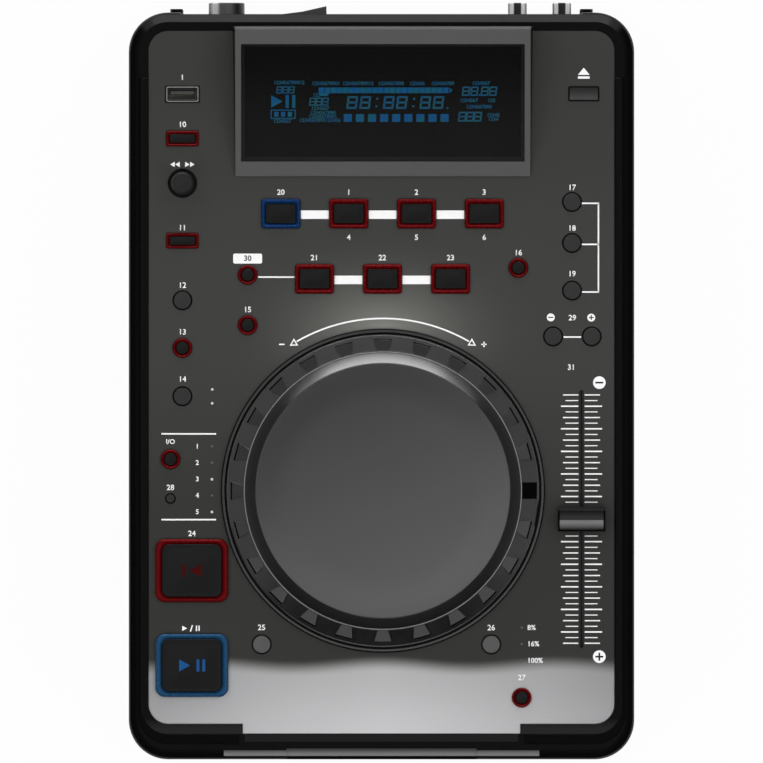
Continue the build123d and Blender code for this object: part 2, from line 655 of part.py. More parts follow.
def make_panel_switches():
    """A push switch under every key, and the rotary encoder under the track knob."""
    with BuildPart() as switches:
        for x, depth, _, _ in KEYS.values():
            box(x, depth, PANEL_BOARD_TOP, (SWITCH_SIZE, SWITCH_SIZE, SWITCH_BODY))
            column(x, depth, PANEL_BOARD_TOP, SWITCH_TOP, SWITCH_PLUNGER)
        box(TRACK_X, TRACK_DEPTH, PANEL_BOARD_TOP, ENCODER)
        hole_floor = PANEL_BOARD_TOP + 1
        column(TRACK_X, TRACK_DEPTH, hole_floor, DECK_UNDER, TRACK_SHAFT + RING_GAP, Mode.SUBTRACT)
    return switches.part


def make_track_knob():
    """The small turning knob: fluted, dished on top, with a shaft down into the encoder."""
    flutes = 12
    with BuildPart() as knob:
        column(TRACK_X, TRACK_DEPTH, PANEL_BOARD_TOP + 1.6, DECK_UNDER, TRACK_SHAFT)
        column(TRACK_X, TRACK_DEPTH, DECK_UNDER - 1, TRACK_TOP, TRACK_RADIUS)
        fillet(knob.edges().group_by(Axis.Z)[-1], radius=1.2)
        with Locations((TRACK_X, at(TRACK_DEPTH), DECK_TOP + 1.5)):
            with PolarLocations(TRACK_RADIUS + 0.25, flutes):
                Cylinder(0.6, TRACK_TOP, align=STANDING, mode=Mode.SUBTRACT)
    return knob.part


def make_usb_socket():
    """An upright USB port: plastic surround, contact tongue and the opening between them."""
    top = DECK_TOP + 0.5
    width, length, reach = USB_PORT
    with BuildPart() as socket:
        box(USB_X, USB_DEPTH, PANEL_BOARD_TOP, (*USB_SIZE, top - PANEL_BOARD_TOP))
        fillet(socket.edges().group_by(Axis.Z)[-1], radius=0.35)
        with BuildSketch(Plane((USB_X, at(USB_DEPTH), top))):
            RectangleRounded(width, length, 0.4)
        extrude(amount=-reach, mode=Mode.SUBTRACT)
        box(USB_X, USB_DEPTH + 0.9, top - reach - 1, (width - 1.6, 1.8, reach - 0.8))
    return socket.part


def revolved(points, centre):
    """Revolves a section, given as radius and height, round an upright axis."""
    with BuildSketch(Plane((*centre, 0), x_dir=(1, 0, 0), z_dir=(0, -1, 0))) as section:
        Polygon(*points, align=None)
    revolve(section.sketch, axis=Axis((*centre, 0), (0, 0, 1)))


def make_jog_collar():
    """The fixed ring that frames the jog wheel."""
    bevel = 0.4
    floor_top = DECK_TOP + 0.8
    section = [
        (JOG_PLATE_RADIUS, DECK_TOP),
        (COLLAR_OUTER, DECK_TOP),
        (COLLAR_OUTER, COLLAR_TOP - bevel),
        (COLLAR_OUTER - bevel, COLLAR_TOP),
        (COLLAR_INNER, COLLAR_TOP),
        (COLLAR_INNER, floor_top),
        (JOG_PLATE_RADIUS, floor_top),
    ]
    with BuildPart() as collar:
        revolved(section, JOG)
    return collar.part


def make_jog_bearing():
    """The fixed post that the jog wheel turns on, with the nut that holds it to the deck."""
    nut_bottom = RIM_UNDERSIDE
    with BuildPart() as bearing:
        column(WORK_X, JOG_DEPTH, DECK_TOP, JOG_WEB[0] - 0.6, BEARING_FLANGE)
        column(WORK_X, JOG_DEPTH, DECK_TOP, POST_TOP, POST_RADIUS)
        chamfer(bearing.edges().group_by(Axis.Z)[-1], length=0.6)
        column(WORK_X, JOG_DEPTH, nut_bottom - 0.8, DECK_TOP, STEM_RADIUS)
        with BuildSketch(Plane((*JOG, nut_bottom))):
            RegularPolygon(NUT_RADIUS, 6)
            Circle(STEM_RADIUS + 0.05, mode=Mode.SUBTRACT)
        extrude(amount=DECK_UNDER - nut_bottom)
    return bearing.part


def make_land():
    """One raised grip land of the jog ring, on the +X side of an upright axis through the origin."""
    inner, outer = LAND_RADII
    near, far = (width / 2 for width in LAND_WIDTHS)
    root = inner - 0.5
    with BuildPart() as land:
        with BuildSketch(Plane.XY.offset(JOG_EDGE_TOP - 0.5)):
            Polygon((root, -near), (outer, -far), (outer, far), (root, near), align=None)
        extrude(amount=JOG_RING_TOP - JOG_EDGE_TOP + 0.5)
        top = JOG_RING_TOP - LAND_DROP
        slope = Plane((inner, 0, top), z_dir=(LAND_SLOPE, 0, 1))
        split(bisect_by=slope, keep=Keep.BOTTOM)
        lip_start = outer - LAND_LIP[0]
        lip_top = top - LAND_SLOPE * (lip_start - inner)
        lip = Plane((lip_start, 0, lip_top), z_dir=(LAND_LIP[1], 0, 1))
        split(bisect_by=lip, keep=Keep.BOTTOM)
    return land.part


def make_jog_ring():
    """The turning rim of the jog wheel: hub, web, code strip and the grip lands with hollows between."""
    low, high = JOG_WEB
    bore = POST_RADIUS + 0.06
    shelf = JOG_PLATE_RADIUS - 0.9
    rim_inside = JOG_RADIUS - 3.2
    bevel = 0.5
    section = [
        (bore, low - 0.3),
        (HUB_RADIUS, low - 0.3),
        (HUB_RADIUS, low),
        (CODE_STRIP[0], low),
        (CODE_STRIP[0], DECK_TOP + 0.6),
        (CODE_STRIP[1], DECK_TOP + 0.6),
        (CODE_STRIP[1], low),
        (rim_inside, low),
        (rim_inside, JOG_BOTTOM),
        (JOG_RADIUS - bevel, JOG_BOTTOM),
        (JOG_RADIUS, JOG_BOTTOM + bevel),
        (JOG_RADIUS, JOG_EDGE_TOP - bevel),
        (JOG_RADIUS - bevel, JOG_EDGE_TOP),
        (LAND_RADII[0], HOLLOW_TOP),
        (LAND_RADII[0], JOG_RING_TOP),
        (shelf, JOG_RING_TOP),
        (shelf, high),
        (HUB_RADIUS, high),
        (HUB_RADIUS, HUB_TOP),
        (bore, HUB_TOP),
    ]
    land = make_land()
    pocket_in, pocket_out, pocket_width = POCKET
    with BuildPart() as ring:
        revolved(section, JOG)
        for turn in range(1, JOG_LANDS):
            add(land.rotate(Axis.Z, 360 * turn / JOG_LANDS).translate((*JOG, 0)))
        # square finger pocket in place of the first land
        with BuildSketch(Plane((*JOG, POCKET_FLOOR))):
            with Locations(((pocket_in + pocket_out) / 2, 0)):
                Rectangle(pocket_out - pocket_in, pocket_width)
        extrude(amount=JOG_RING_TOP - POCKET_FLOOR + 1, mode=Mode.SUBTRACT)
    return ring.part


def make_jog_plate():
    """The touch plate on top of the jog wheel, with its sloping edge and the guide round the hub."""
    under = JOG_TOP - 2.4
    rest = JOG_RING_TOP + 0.6
    guide_bottom = JOG_WEB[1] + 0.8
    guide = HUB_RADIUS + 0.1
    section = [
        (0, JOG_TOP),
        (JOG_FACE_RADIUS, JOG_TOP),
        (JOG_PLATE_RADIUS, rest + 0.5),
        (JOG_PLATE_RADIUS, rest),
        (JOG_PLATE_RADIUS - 2.4, rest),
        (JOG_FACE_RADIUS - 0.2, under),
        (guide + 2, under),
        (guide + 2, guide_bottom),
        (guide, guide_bottom),
        (guide, under),
        (0, under),
    ]
    with BuildPart() as plate:
        revolved(section, JOG)
        fillet(plate.edges().group_by(Axis.Z)[-1], radius=0.5)
    return plate.part


def make_fader_body():
    """The slide potentiometer's case under the deck, open along its top for the lever."""
    width, length, height = FADER_CASE
    bottom = DECK_UNDER - height
    skin = 1.2
    with BuildPart() as case:
        box(FADER_X, FADER_DEPTH, bottom, FADER_CASE)
        box(FADER_X, FADER_DEPTH, bottom + skin, (width - 6, length - 6, height - 2 * skin), Mode.SUBTRACT)
        box(FADER_X, FADER_DEPTH, bottom + 2 * skin, (3.4, length - 6, height), Mode.SUBTRACT)
    return case.part


def make_fader_slider():
    """The moving part of the pitch fader: wiper block, steel lever and the cap."""
    length, width = FADER_CAP
    block_bottom = DECK_UNDER - FADER_CASE[2] + 2.2
    block_height = 5
    base = DECK_TOP + 0.7
    half = width / 2
    shoulder = FADER_TOP - 1.2
    profile = [
        (-half, base),
        (half, base),
        (half, shoulder),
        (half - 1.6, FADER_TOP),
        (1.2, FADER_TOP - 1.1),
        (0, FADER_TOP - 1.5),
        (-1.2, FADER_TOP - 1.1),
        (-half + 1.6, FADER_TOP),
        (-half, shoulder),
    ]
    with BuildPart() as slider:
        box(FADER_X, FADER_DEPTH, block_bottom, (7, 9, block_height))
        box(FADER_X, FADER_DEPTH, block_bottom, (1.2, 4, base - block_bottom))
        with BuildSketch(Plane((FADER_X, at(FADER_DEPTH), 0), x_dir=(0, 1, 0), z_dir=(1, 0, 0))):
            Polygon(*profile, align=None)
        extrude(amount=length / 2, both=True)
    return slider.part


def slope_plane(below=0.0):
    """The plane of the display housing's sloping top, or one this far below it."""
    normal = (0, -sin(DISPLAY_SLOPE), cos(DISPLAY_SLOPE))
    front = (WORK_X, at(DISPLAY_FRONT), DISPLAY_FRONT_TOP)
    return Plane(front, x_dir=(1, 0, 0), z_dir=normal).offset(-below)


def window_outline(grow=0.0):
    """Adds the window's outline to a sketch on the sloping plane."""
    front = (WINDOW_FRONT - DISPLAY_FRONT) / cos(DISPLAY_SLOPE)
    length = (WINDOW_REAR - WINDOW_FRONT) / cos(DISPLAY_SLOPE)
    with Locations((0, front + length / 2)):
        Rectangle(WINDOW_WIDTH + 2 * grow, length + 2 * grow)


def housing_wedge(grow, bottom, roof):
    """A wedge with leaning walls: the housing's outside, or its hollow when grow is negative."""
    near = DISPLAY_WIDTH / 2 + grow
    far = near + DISPLAY_FLARE
    front = at(DISPLAY_FRONT) - grow
    rear = at(DISPLAY_REAR) + grow
    lean = degrees(atan2(DISPLAY_FLARE, DISPLAY_TOP - DECK_TOP))
    with BuildPart() as wedge:
        with BuildSketch(Plane((WORK_X, 0, bottom))):
            Polygon((-near, front), (near, front), (far, rear), (-far, rear), align=None)
        extrude(amount=DISPLAY_TOP - DECK_TOP + 4, taper=lean)
        split(bisect_by=roof, keep=Keep.BOTTOM)
    return wedge.part


def make_display_housing():
    """The wedge-shaped hood behind the keys that carries the display window."""
    seat = WINDOW_THICKNESS + WINDOW_DROP
    outside = housing_wedge(0, DECK_TOP, slope_plane())
    hollow = housing_wedge(-DISPLAY_WALL, DECK_TOP - 1, slope_plane(seat + 0.8))
    with BuildPart() as housing:
        add(outside)
        fillet(housing.faces().sort_by(Axis.Y)[-1].edges().sort_by(Axis.Z)[-1], radius=0.8)
        add(hollow, mode=Mode.SUBTRACT)
        with BuildSketch(slope_plane()):
            window_outline(0.1)
        extrude(amount=-seat, mode=Mode.SUBTRACT)
        with BuildSketch(slope_plane()):
            window_outline(-1.5)
        extrude(amount=-8, mode=Mode.SUBTRACT)
    return housing.part


def make_display_window():
    """The smoked glass of the display, set just below the housing's top."""
    with BuildPart() as window:
        with BuildSketch(slope_plane(WINDOW_DROP)):
            window_outline()
        extrude(amount=-WINDOW_THICKNESS)
    return window.part


def make_display_module():
    """The display glass, its backlight and its board, parallel to the window."""
    top = WINDOW_THICKNESS + WINDOW_DROP
    glass = 3.0
    with BuildPart() as module:
        with BuildSketch(slope_plane(top)):
            window_outline(-2)
        extrude(amount=-glass)
        with BuildSketch(slope_plane(top + glass)):
            window_outline(-3.5)
        extrude(amount=-BOARD_THICKNESS)
    return module.part


def gear_outline(teeth, module):
    """Adds a spur gear's outline, with straight-flanked teeth, to the open sketch."""
    pitch = module * teeth / 2
    tip, root = pitch + 0.9 * module, pitch - 1.15 * module
    quarter = pi / (2 * teeth)
    flank = [(root - 0.3, 1.42 * quarter), (pitch, 0.93 * quarter), (tip, 0.42 * quarter)]
    upper = [(radius * cos(angle), radius * sin(angle)) for radius, angle in flank]
    lower = [(x, -y) for x, y in reversed(upper)]
    Circle(root)
    with PolarLocations(0, teeth):
        Polygon(*upper, *lower, align=None)


def make_drive_gear():
    """The gear that drives the tray's rack, fixed on the loading motor's shaft."""
    low, high = GEAR_HEIGHTS
    with BuildPart() as gear:
        with BuildSketch(Plane((GEAR_X, at(GEAR_DEPTH), low))):
            gear_outline(GEAR_TEETH, GEAR_MODULE)
        extrude(amount=high - low)
        column(GEAR_X, GEAR_DEPTH, low - 8, low, GEAR_SHAFT)
    return gear.part


def rack_outline():
    """Adds the rack along the tray's left arm to the open sketch, its teeth towards the gear."""
    pitch = pi * GEAR_MODULE
    pitch_x = GEAR_X - GEAR_PITCH
    tip, root = 0.9 * GEAR_MODULE, 1.15 * GEAR_MODULE
    spread = tan(radians(20))
    backlash = 0.12
    tip_half = pitch / 4 - tip * spread - backlash
    root_half = pitch / 4 + root * spread - backlash
    teeth_ahead, teeth_behind = 3, 29
    with Locations((pitch_x - root, at(8))):
        Rectangle(4, 154, align=(Align.MAX, Align.MIN))
    for tooth in range(-teeth_ahead, teeth_behind):
        y = at(GEAR_DEPTH) + pitch * (tooth + 0.5)
        near, far = pitch_x - root - 0.2, pitch_x + tip
        tooth_front = [(near, y - root_half), (far, y - tip_half)]
        tooth_rear = [(far, y + tip_half), (near, y + root_half)]
        Polygon(*tooth_front, *tooth_rear, align=None)


def make_tray():
    """The disc tray: dish, arms, drive rack, and the slot that lets the spindle through."""
    length = TRAY_REAR - TRAY_FRONT
    slot_front = DISC_DEPTH - 20
    with BuildPart() as tray:
        box(0, TRAY_FRONT + length / 2, TRAY_BOTTOM, (TRAY_WIDTH, length, TRAY_TOP - TRAY_BOTTOM))
        column(0, DISC_DEPTH, DISH_FLOOR, TRAY_TOP, DISH_RADIUS, Mode.SUBTRACT)
        column(0, DISC_DEPTH, DISH_FLOOR - 0.8, TRAY_TOP, SMALL_DISH_RADIUS, Mode.SUBTRACT)
        with BuildSketch(Plane.XY.offset(TRAY_BOTTOM)):
            with Locations((0, at(slot_front))):
                slot_length = TRAY_REAR - slot_front
                RectangleRounded(TRAY_SLOT, slot_length, 8, align=(Align.CENTER, Align.MIN))
            with Locations((0, at(TRAY_REAR))):
                Rectangle(TRAY_SLOT, 40)
        extrude(amount=TRAY_TOP - TRAY_BOTTOM, mode=Mode.SUBTRACT)
        low, high = GEAR_HEIGHTS
        with BuildSketch(Plane.XY.offset(low)):
            rack_outline()
        extrude(amount=TRAY_BOTTOM - low)
    return tray.part


def make_tray_door():
    """The door on the tray's front, flush with the cabinet when the tray is in."""
    low, high = DOOR_HEIGHTS
    with BuildPart() as door:
        box(0, TRAY_FRONT - DOOR_THICKNESS / 2, low, (DOOR_WIDTH, DOOR_THICKNESS, high - low))
        fillet(door.faces().sort_by(Axis.Y)[0].edges(), radius=0.8)
    return door.part


def make_loader_frame():
    """The loader's chassis: floor, side walls with the tray's runners, and the clamp's bridge."""
    length = LOADER_REAR - LOADER_FRONT
    depth = LOADER_FRONT + length / 2
    floor_top = LOADER_FLOOR + BOARD_THICKNESS
    wall = 2.0
    with BuildPart() as frame:
        box(0, depth, LOADER_FLOOR, (2 * LOADER_SPAN, length, BOARD_THICKNESS))
        for side in (-1, 1):
            wall_height = LOADER_WALL_TOP - LOADER_FLOOR
            box(side * (LOADER_SPAN - wall / 2), depth, LOADER_FLOOR, (wall, length, wall_height))
            # runner under the tray's edge, and stops over it
            box(side * (LOADER_SPAN - 3.5), depth, TRAY_BOTTOM - 3.3, (7, length, 3))
            for stop in (30, 105, 160):
                box(side * (LOADER_SPAN - 3), stop, TRAY_TOP + 0.4, (6, 12, 1.6))
            for post in (52, 158):
                column(side * 34, post, floor_top, TRAVERSE[0], 3.5)
        bridge = (2 * LOADER_SPAN, 40, BRIDGE_TOP - LOADER_WALL_TOP)
        box(0, DISC_DEPTH, LOADER_WALL_TOP, bridge)
        column(0, DISC_DEPTH, LOADER_WALL_TOP, BRIDGE_TOP, 8, Mode.SUBTRACT)
        # window in the floor under the traverse, and the screw holes
        with BuildSketch(Plane.XY.offset(LOADER_FLOOR)):
            with Locations((0, at(105))):
                RectangleRounded(50, 100, 4)
            for x, post in LOADER_POSTS:
                with Locations((x, at(post))):
                    Circle(SCREW_HOLE)
        extrude(amount=BOARD_THICKNESS, mode=Mode.SUBTRACT)
    return frame.part


def make_traverse_unit():
    """The plate that carries the spindle motor, the pickup's two rods and its magnet bars."""
    low, high = TRAVERSE
    front, rear = RAIL_ENDS
    with BuildPart() as traverse:
        box(0, 105, low, (78, 120, high - low))
        column(0, DISC_DEPTH, low, high, 3.2, Mode.SUBTRACT)
        box(0, 130, low, (30, 56, high - low), Mode.SUBTRACT)
        for side in (-1, 1):
            with Locations(rear_facing(side * RAIL_X, at(front), RAIL_Z)):
                Cylinder(RAIL_RADIUS, rear - front, align=STANDING)
            for end in RAIL_ENDS:
                box(side * RAIL_X, end, high, (5, 3, RAIL_Z + 2 - high))
            box(side * 30, 129, high, (5, 60, 6))
    return traverse.part


def make_drive_motors():
    """The spindle motor under the traverse and the geared loading motor under the drive gear."""
    low, high = TRAVERSE
    gear_low = GEAR_HEIGHTS[0]
    with BuildPart() as motors:
        column(0, DISC_DEPTH, low - 7, low, 12)
        column(0, DISC_DEPTH, low, high + 2, 3)
        column(0, DISC_DEPTH, low - 4, high + 2, SPINDLE_SHAFT + 0.05, Mode.SUBTRACT)
        column(GEAR_X, GEAR_DEPTH, LOADER_FLOOR + BOARD_THICKNESS, gear_low - 0.6, 10)
        column(GEAR_X, GEAR_DEPTH, gear_low - 9, gear_low, GEAR_SHAFT + 0.05, Mode.SUBTRACT)
    return motors.part


def make_turntable():
    """The disc spindle: table, centring cone and shaft."""
    low, high = TURNTABLE_HEIGHTS
    shaft_end = TRAVERSE[0] - 3
    section = [
        (0, shaft_end),
        (SPINDLE_SHAFT, shaft_end),
        (SPINDLE_SHAFT, low - 1),
        (5, low - 1),
        (5, low + 4),
        (TURNTABLE_RADIUS, high - 2),
        (TURNTABLE_RADIUS, high),
        (7.4, high),
        (7.2, high + 0.9),
        (4.5, high + 2.5),
        (0, high + 2.5),
    ]
    with BuildPart() as table:
        revolved(section, (0, at(DISC_DEPTH)))
    return table.part


def make_pickup():
    """The optical pickup: sled on two rods, lens mount and lens."""
    bottom = TRAVERSE[1] + 0.6
    top = RAIL_Z + 2.4
    lens_depth = PICKUP_HOME - 4
    with BuildPart() as pickup:
        box(0, PICKUP_HOME, bottom, (2 * RAIL_X + 7, PICKUP_LENGTH, top - bottom))
        for side in (-1, 1):
            with Locations(rear_facing(side * RAIL_X, at(PICKUP_HOME), RAIL_Z)):
                Cylinder(RAIL_RADIUS + 0.04, PICKUP_LENGTH, mode=Mode.SUBTRACT)
        column(0, lens_depth, top, top + 1, 5)
        column(0, lens_depth, top + 1, top + 2, 2.4)
    return pickup.part


def make_disc_clamp():
    """The puck that hangs in the bridge and presses a disc onto the turntable."""
    puck = (TRAY_TOP + 1.2, LOADER_WALL_TOP - 0.6)
    neck, cap = 7.6, 10.5
    cap_bottom = BRIDGE_TOP + 0.05
    section = [
        (0, puck[0]),
        (TURNTABLE_RADIUS, puck[0]),
        (TURNTABLE_RADIUS, puck[1] - 0.4),
        (neck, puck[1]),
        (neck, cap_bottom),
        (cap, cap_bottom),
        (cap, cap_bottom + 1.3),
        (0, cap_bottom + 1.3),
    ]
    with BuildPart() as clamp:
        revolved(section, (0, at(DISC_DEPTH)))
    return clamp.part


def make_rear_sockets():
    """Two audio sockets and the round power inlet, each a metal shell in an insulating block."""
    reach = REAR + SOCKET_REACH
    inner_face = PANEL_Y - PANEL_THICKNESS
    shell_start = PANEL_Y + RING_GAP
    inlet_wall = 1.4
    behind_panel = (Align.CENTER, Align.MAX, Align.CENTER)
    with BuildPart() as sockets:
        with Locations((sum(AUDIO_X) / 2, inner_face, SOCKET_Z)):
            Box(38, 16, 20, align=behind_panel)
        with Locations((INLET_X, inner_face, SOCKET_Z)):
            Box(22, 14, 22, align=behind_panel)
        for x, radius in ((AUDIO_X[0], AUDIO_RADIUS), (AUDIO_X[1], AUDIO_RADIUS), (INLET_X, INLET_RADIUS)):
            with Locations(rear_facing(x, inner_face, SOCKET_Z)):
                Cylinder(radius - SHELL_NECK, PANEL_THICKNESS + 1, align=STANDING)
            with Locations(rear_facing(x, shell_start, SOCKET_Z)):
                Cylinder(radius, reach - shell_start, align=STANDING)
        chamfer(sockets.edges().group_by(Axis.Y)[-1], length=0.4)
        for x in AUDIO_X:
            with Locations(rear_facing(x, reach, SOCKET_Z)):
                Cylinder(AUDIO_BORE, 24, mode=Mode.SUBTRACT)
        with Locations(rear_facing(INLET_X, reach, SOCKET_Z)):
            Cylinder(INLET_RADIUS - inlet_wall, 18, mode=Mode.SUBTRACT)
        with Locations(rear_facing(INLET_X, reach - 12, SOCKET_Z)):
            Cylinder(2.2, 11, align=STANDING)
            with PolarLocations(4.4, 3):
                Cylinder(0.8, 11, align=STANDING)
    return sockets.part


PIVOT = (ROCKER_X, PANEL_Y - 1.0, SOCKET_Z)


def make_switch_housing():
    """The power switch's case in the rear panel, with a bezel and a pocket for the rocker."""
    width, depth, height = ROCKER_CASE
    bezel = 2.2
    with BuildPart() as case:
        with Locations((ROCKER_X, PANEL_Y, SOCKET_Z)):
            Box(width, depth, height, align=(Align.CENTER, Align.MAX, Align.CENTER))
            Box(width + 3, bezel, height + 3, align=(Align.CENTER, Align.MIN, Align.CENTER))
        fillet(case.faces().sort_by(Axis.Y)[-1].edges(), radius=0.6)
        with Locations((ROCKER_X, PANEL_Y + bezel, SOCKET_Z)):
            pocket = (width - 2.6, 16, ROCKER_HEIGHT + 0.6)
            Box(*pocket, align=(Align.CENTER, Align.MAX, Align.CENTER), mode=Mode.SUBTRACT)
        with Locations(PIVOT):
            Cylinder(1.25, ROCKER_HEIGHT + 3, mode=Mode.SUBTRACT)
    return case.part


def make_power_rocker():
    """The rocker of the power switch, drawn with its right end out: its face is a shallow vee."""
    right = [(0, 5.9), (10.8, 6.4), (10.2, 2.5), (7, -4.5), (0, -6.5)]
    left = [(-x, y) for x, y in reversed(right[1:-1])]
    with BuildPart() as rocker:
        plane = Plane(PIVOT).offset(-ROCKER_HEIGHT / 2).rotated((0, 0, ROCKER_TILT))
        with BuildSketch(plane):
            Polygon(*right, *left, align=None)
        extrude(amount=ROCKER_HEIGHT)
        with Locations(PIVOT):
            Cylinder(1.2, ROCKER_HEIGHT + 2.6)
    return rocker.part


def main():
    os.makedirs("parts", exist_ok=True)
    pieces = {
        "body_shell": make_body_shell,
        "base_pan": make_base_pan,
        "feet": make_feet,
        "case_screws": make_case_screws,
        "deck_plate": make_deck_plate,
        "circuit_boards": make_circuit_boards,
        "panel_switches": make_panel_switches,
        "track_knob": make_track_knob,
        "usb_socket": make_usb_socket,
        "jog_collar": make_jog_collar,
        "jog_bearing": make_jog_bearing,
        "jog_ring": make_jog_ring,
        "jog_plate": make_jog_plate,
        "fader_body": make_fader_body,
        "fader_slider": make_fader_slider,
        "display_housing": make_display_housing,
        "display_window": make_display_window,
        "display_module": make_display_module,
        "drive_gear": make_drive_gear,
        "tray": make_tray,
        "tray_door": make_tray_door,
        "loader_frame": make_loader_frame,
        "traverse_unit": make_traverse_unit,
        "drive_motors": make_drive_motors,
        "turntable": make_turntable,
        "pickup": make_pickup,
        "disc_clamp": make_disc_clamp,
        "rear_sockets": make_rear_sockets,
        "switch_housing": make_switch_housing,
        "power_rocker": make_power_rocker,
    }
    for name, make in pieces.items():
        finish(make(), name)
    for colour in ("red", "blue"):
        finish(make_light_rings(colour), f"{colour}_light_rings")
    for name, (x, depth, kind, _) in KEYS.items():
        finish(make_key(x, depth, kind), name)


main()
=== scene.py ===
import json
from math import atan2, cos, degrees, pi, radians, sin, tan

import bmesh
import bpy
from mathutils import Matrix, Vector


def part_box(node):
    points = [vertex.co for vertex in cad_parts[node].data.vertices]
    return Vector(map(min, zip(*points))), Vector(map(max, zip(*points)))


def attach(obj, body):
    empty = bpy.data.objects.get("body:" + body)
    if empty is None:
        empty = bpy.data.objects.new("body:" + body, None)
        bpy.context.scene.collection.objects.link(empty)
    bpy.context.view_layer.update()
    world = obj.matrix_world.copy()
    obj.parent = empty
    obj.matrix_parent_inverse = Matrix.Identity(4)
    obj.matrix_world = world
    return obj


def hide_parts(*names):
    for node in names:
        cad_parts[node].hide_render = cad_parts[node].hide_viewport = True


# The looks of a tabletop disc player: finishes for its solids, and the printed marks, key caps, display
# segments, sockets and small trim that dress them. Sizes are in millimetres until they reach a mesh.

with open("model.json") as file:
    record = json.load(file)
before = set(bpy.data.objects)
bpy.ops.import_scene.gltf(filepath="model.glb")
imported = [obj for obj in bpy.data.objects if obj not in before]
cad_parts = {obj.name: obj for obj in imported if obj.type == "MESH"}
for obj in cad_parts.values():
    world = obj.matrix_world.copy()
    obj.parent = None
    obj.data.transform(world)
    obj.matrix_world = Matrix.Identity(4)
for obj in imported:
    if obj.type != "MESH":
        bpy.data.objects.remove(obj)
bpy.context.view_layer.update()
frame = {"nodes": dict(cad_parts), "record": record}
NODES = frame["nodes"]
MM = 0.001


def middle(node):
    """The centre of a solid's box, in millimetres."""
    low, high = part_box(node)
    return (low + high) / 2 / MM


def top_of(node):
    """The height of a solid's highest point, in millimetres."""
    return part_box(node)[1].z / MM


def size_of(node):
    """The width, length and height of a solid's box, in millimetres."""
    low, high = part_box(node)
    return (high - low) / MM


FRONT_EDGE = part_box("body_shell")[0].y / MM
PANEL_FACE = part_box("base_pan")[1].y / MM
REAR_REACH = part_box("rear_sockets")[1].y / MM
DECK = top_of("deck_plate")
RELIEF_HALF = 60.2  # half the width of the finger relief in the front edge
STRIP_HALF = 69.7  # half the length of the strip of painted reflection on the front slope
BOARD_SPANS = ((14.5, 16.65), (73.5, 75.65))  # the heights between which the boards lie
JOG = middle("jog_ring")
CONE = (56.6, 61.1)  # the inner and outer radius of the touch plate's sloping edge
TROUGH = DECK + 0.8  # the height of the collar's floor
LAND_END = 67.4  # radius of the outer ends of the jog rim's lands
LAND_FACET = 0.62  # length of the facet that ends a land
POCKET = (61.5, 68.2)  # the finger pocket's inner and outer end, from the wheel's centre
POCKET_HALF = (3.72, 3.66)  # half the pocket's width, at the outside and the inside of its edge
FADER = middle("fader_body")
FADER_CAP = middle("fader_slider")
WINDOW = middle("display_window")
WINDOW_THICKNESS = 1.5
KEY_NODES = [name for name in NODES if name.endswith("_key")]
LARGE_KEYS = ("play_key", "cue_key")
UPPER_PADS = ("memory_key", "hot_cue_1_key", "hot_cue_2_key", "hot_cue_3_key")
LOWER_PADS = ("loop_in_key", "loop_out_key", "reloop_key")
PAD_KEYS = UPPER_PADS + LOWER_PADS
LIT_BARS = ("folder_key", "source_key")
LIT_ROUNDS = ("relay_key", "effect_key", "memo_key", "brake_key", "reverse_key", "master_tempo_key")
RING_KEYS = (LARGE_KEYS, PAD_KEYS, LIT_BARS, LIT_ROUNDS)
BLUE_KEYS = ("play_key", "memory_key")
# The sockets on the rear panel: the two audio shells and the power inlet
AUDIO_X = (80.1, 60.4)
AUDIO_RADIUS = 4.15
INLET_X = -68.8
INLET_RADIUS = 8.0
SOCKET_HEIGHT = 46.0

# Finishes, as the levels 0 to 255 that they show
INK_WHITE = 250
INK_DARK = 26
DECK_LEVELS = (60, 66, 55)  # rear, middle and front of the dark part, graded as painted light
REFLECTION_BAND_LEVELS = (187, 203)  # the pale band of painted reflection along the front, from its rear edge to its front edge
BAND_EDGE = (-122.5, -130.5)
BAND_WAVE = (78, 1.2)  # length and height of the faint wave in the band's edge
# the painted glow of light above the jog wheel: its level and its reach
PAINTED_GLOW_LEVEL = 139
PAINTED_GLOW_REACH = 75.0
CABINET_LEVEL = 8
STRIP_LEVELS = (60, 128)  # the strip of painted reflection on the front slope, from its rear edge to its front edge
JOG_LEVELS = (116, 140, 158)  # the touch plate's cone, face and rolled edge, whose level is a painted highlight
HOOD_LEVELS = (84, 13)  # the display housing's top and its side walls, darkened as painted shade
WHITE = (1.0, 1.0, 1.0)


def grey(level):
    """A grey as the linear colour that shows at this level of 0 to 255."""
    value = ((level / 255 + 0.055) / 1.055) ** 2.4
    return (value, value, value, 1.0)


def linear(level):
    return grey(level)[0]


def blend(share, low, high):
    """A value that goes from low to high as share goes from 0 to 1."""
    return low + share * (high - low)


def shade(share, low, high):
    """The same between two levels of 0 to 255."""
    return blend(share, linear(low), linear(high))


def pairing(operation, swapped=False):
    """A method that adds a Math node for a wire and something else, in this order or swapped."""
    def method(wire, other):
        first, second = (other, wire) if swapped else (wire, other)
        return wire.maths(operation, first, second)

    return method


class Wire:
    """A number or colour that runs through a graph. Operators on it add Math nodes."""

    def __init__(self, graph, socket):
        self.graph = graph
        self.socket = socket

    def maths(self, operation, *values, clamp=False):
        sockets = dict(enumerate(values))
        settings = {"operation": operation, "use_clamp": clamp}
        return self.graph.node("ShaderNodeMath", settings, sockets)

    __add__ = __radd__ = pairing("ADD")
    __mul__ = __rmul__ = pairing("MULTIPLY")
    __sub__ = pairing("SUBTRACT")
    __rsub__ = pairing("SUBTRACT", swapped=True)
    __truediv__ = pairing("DIVIDE")
    __pow__ = pairing("POWER")
    lesser = pairing("MINIMUM")
    greater = pairing("MAXIMUM")

    def clamped(self):
        return self.maths("ADD", self, 0.0, clamp=True)

    def size(self):
        return self.maths("ABSOLUTE", self)


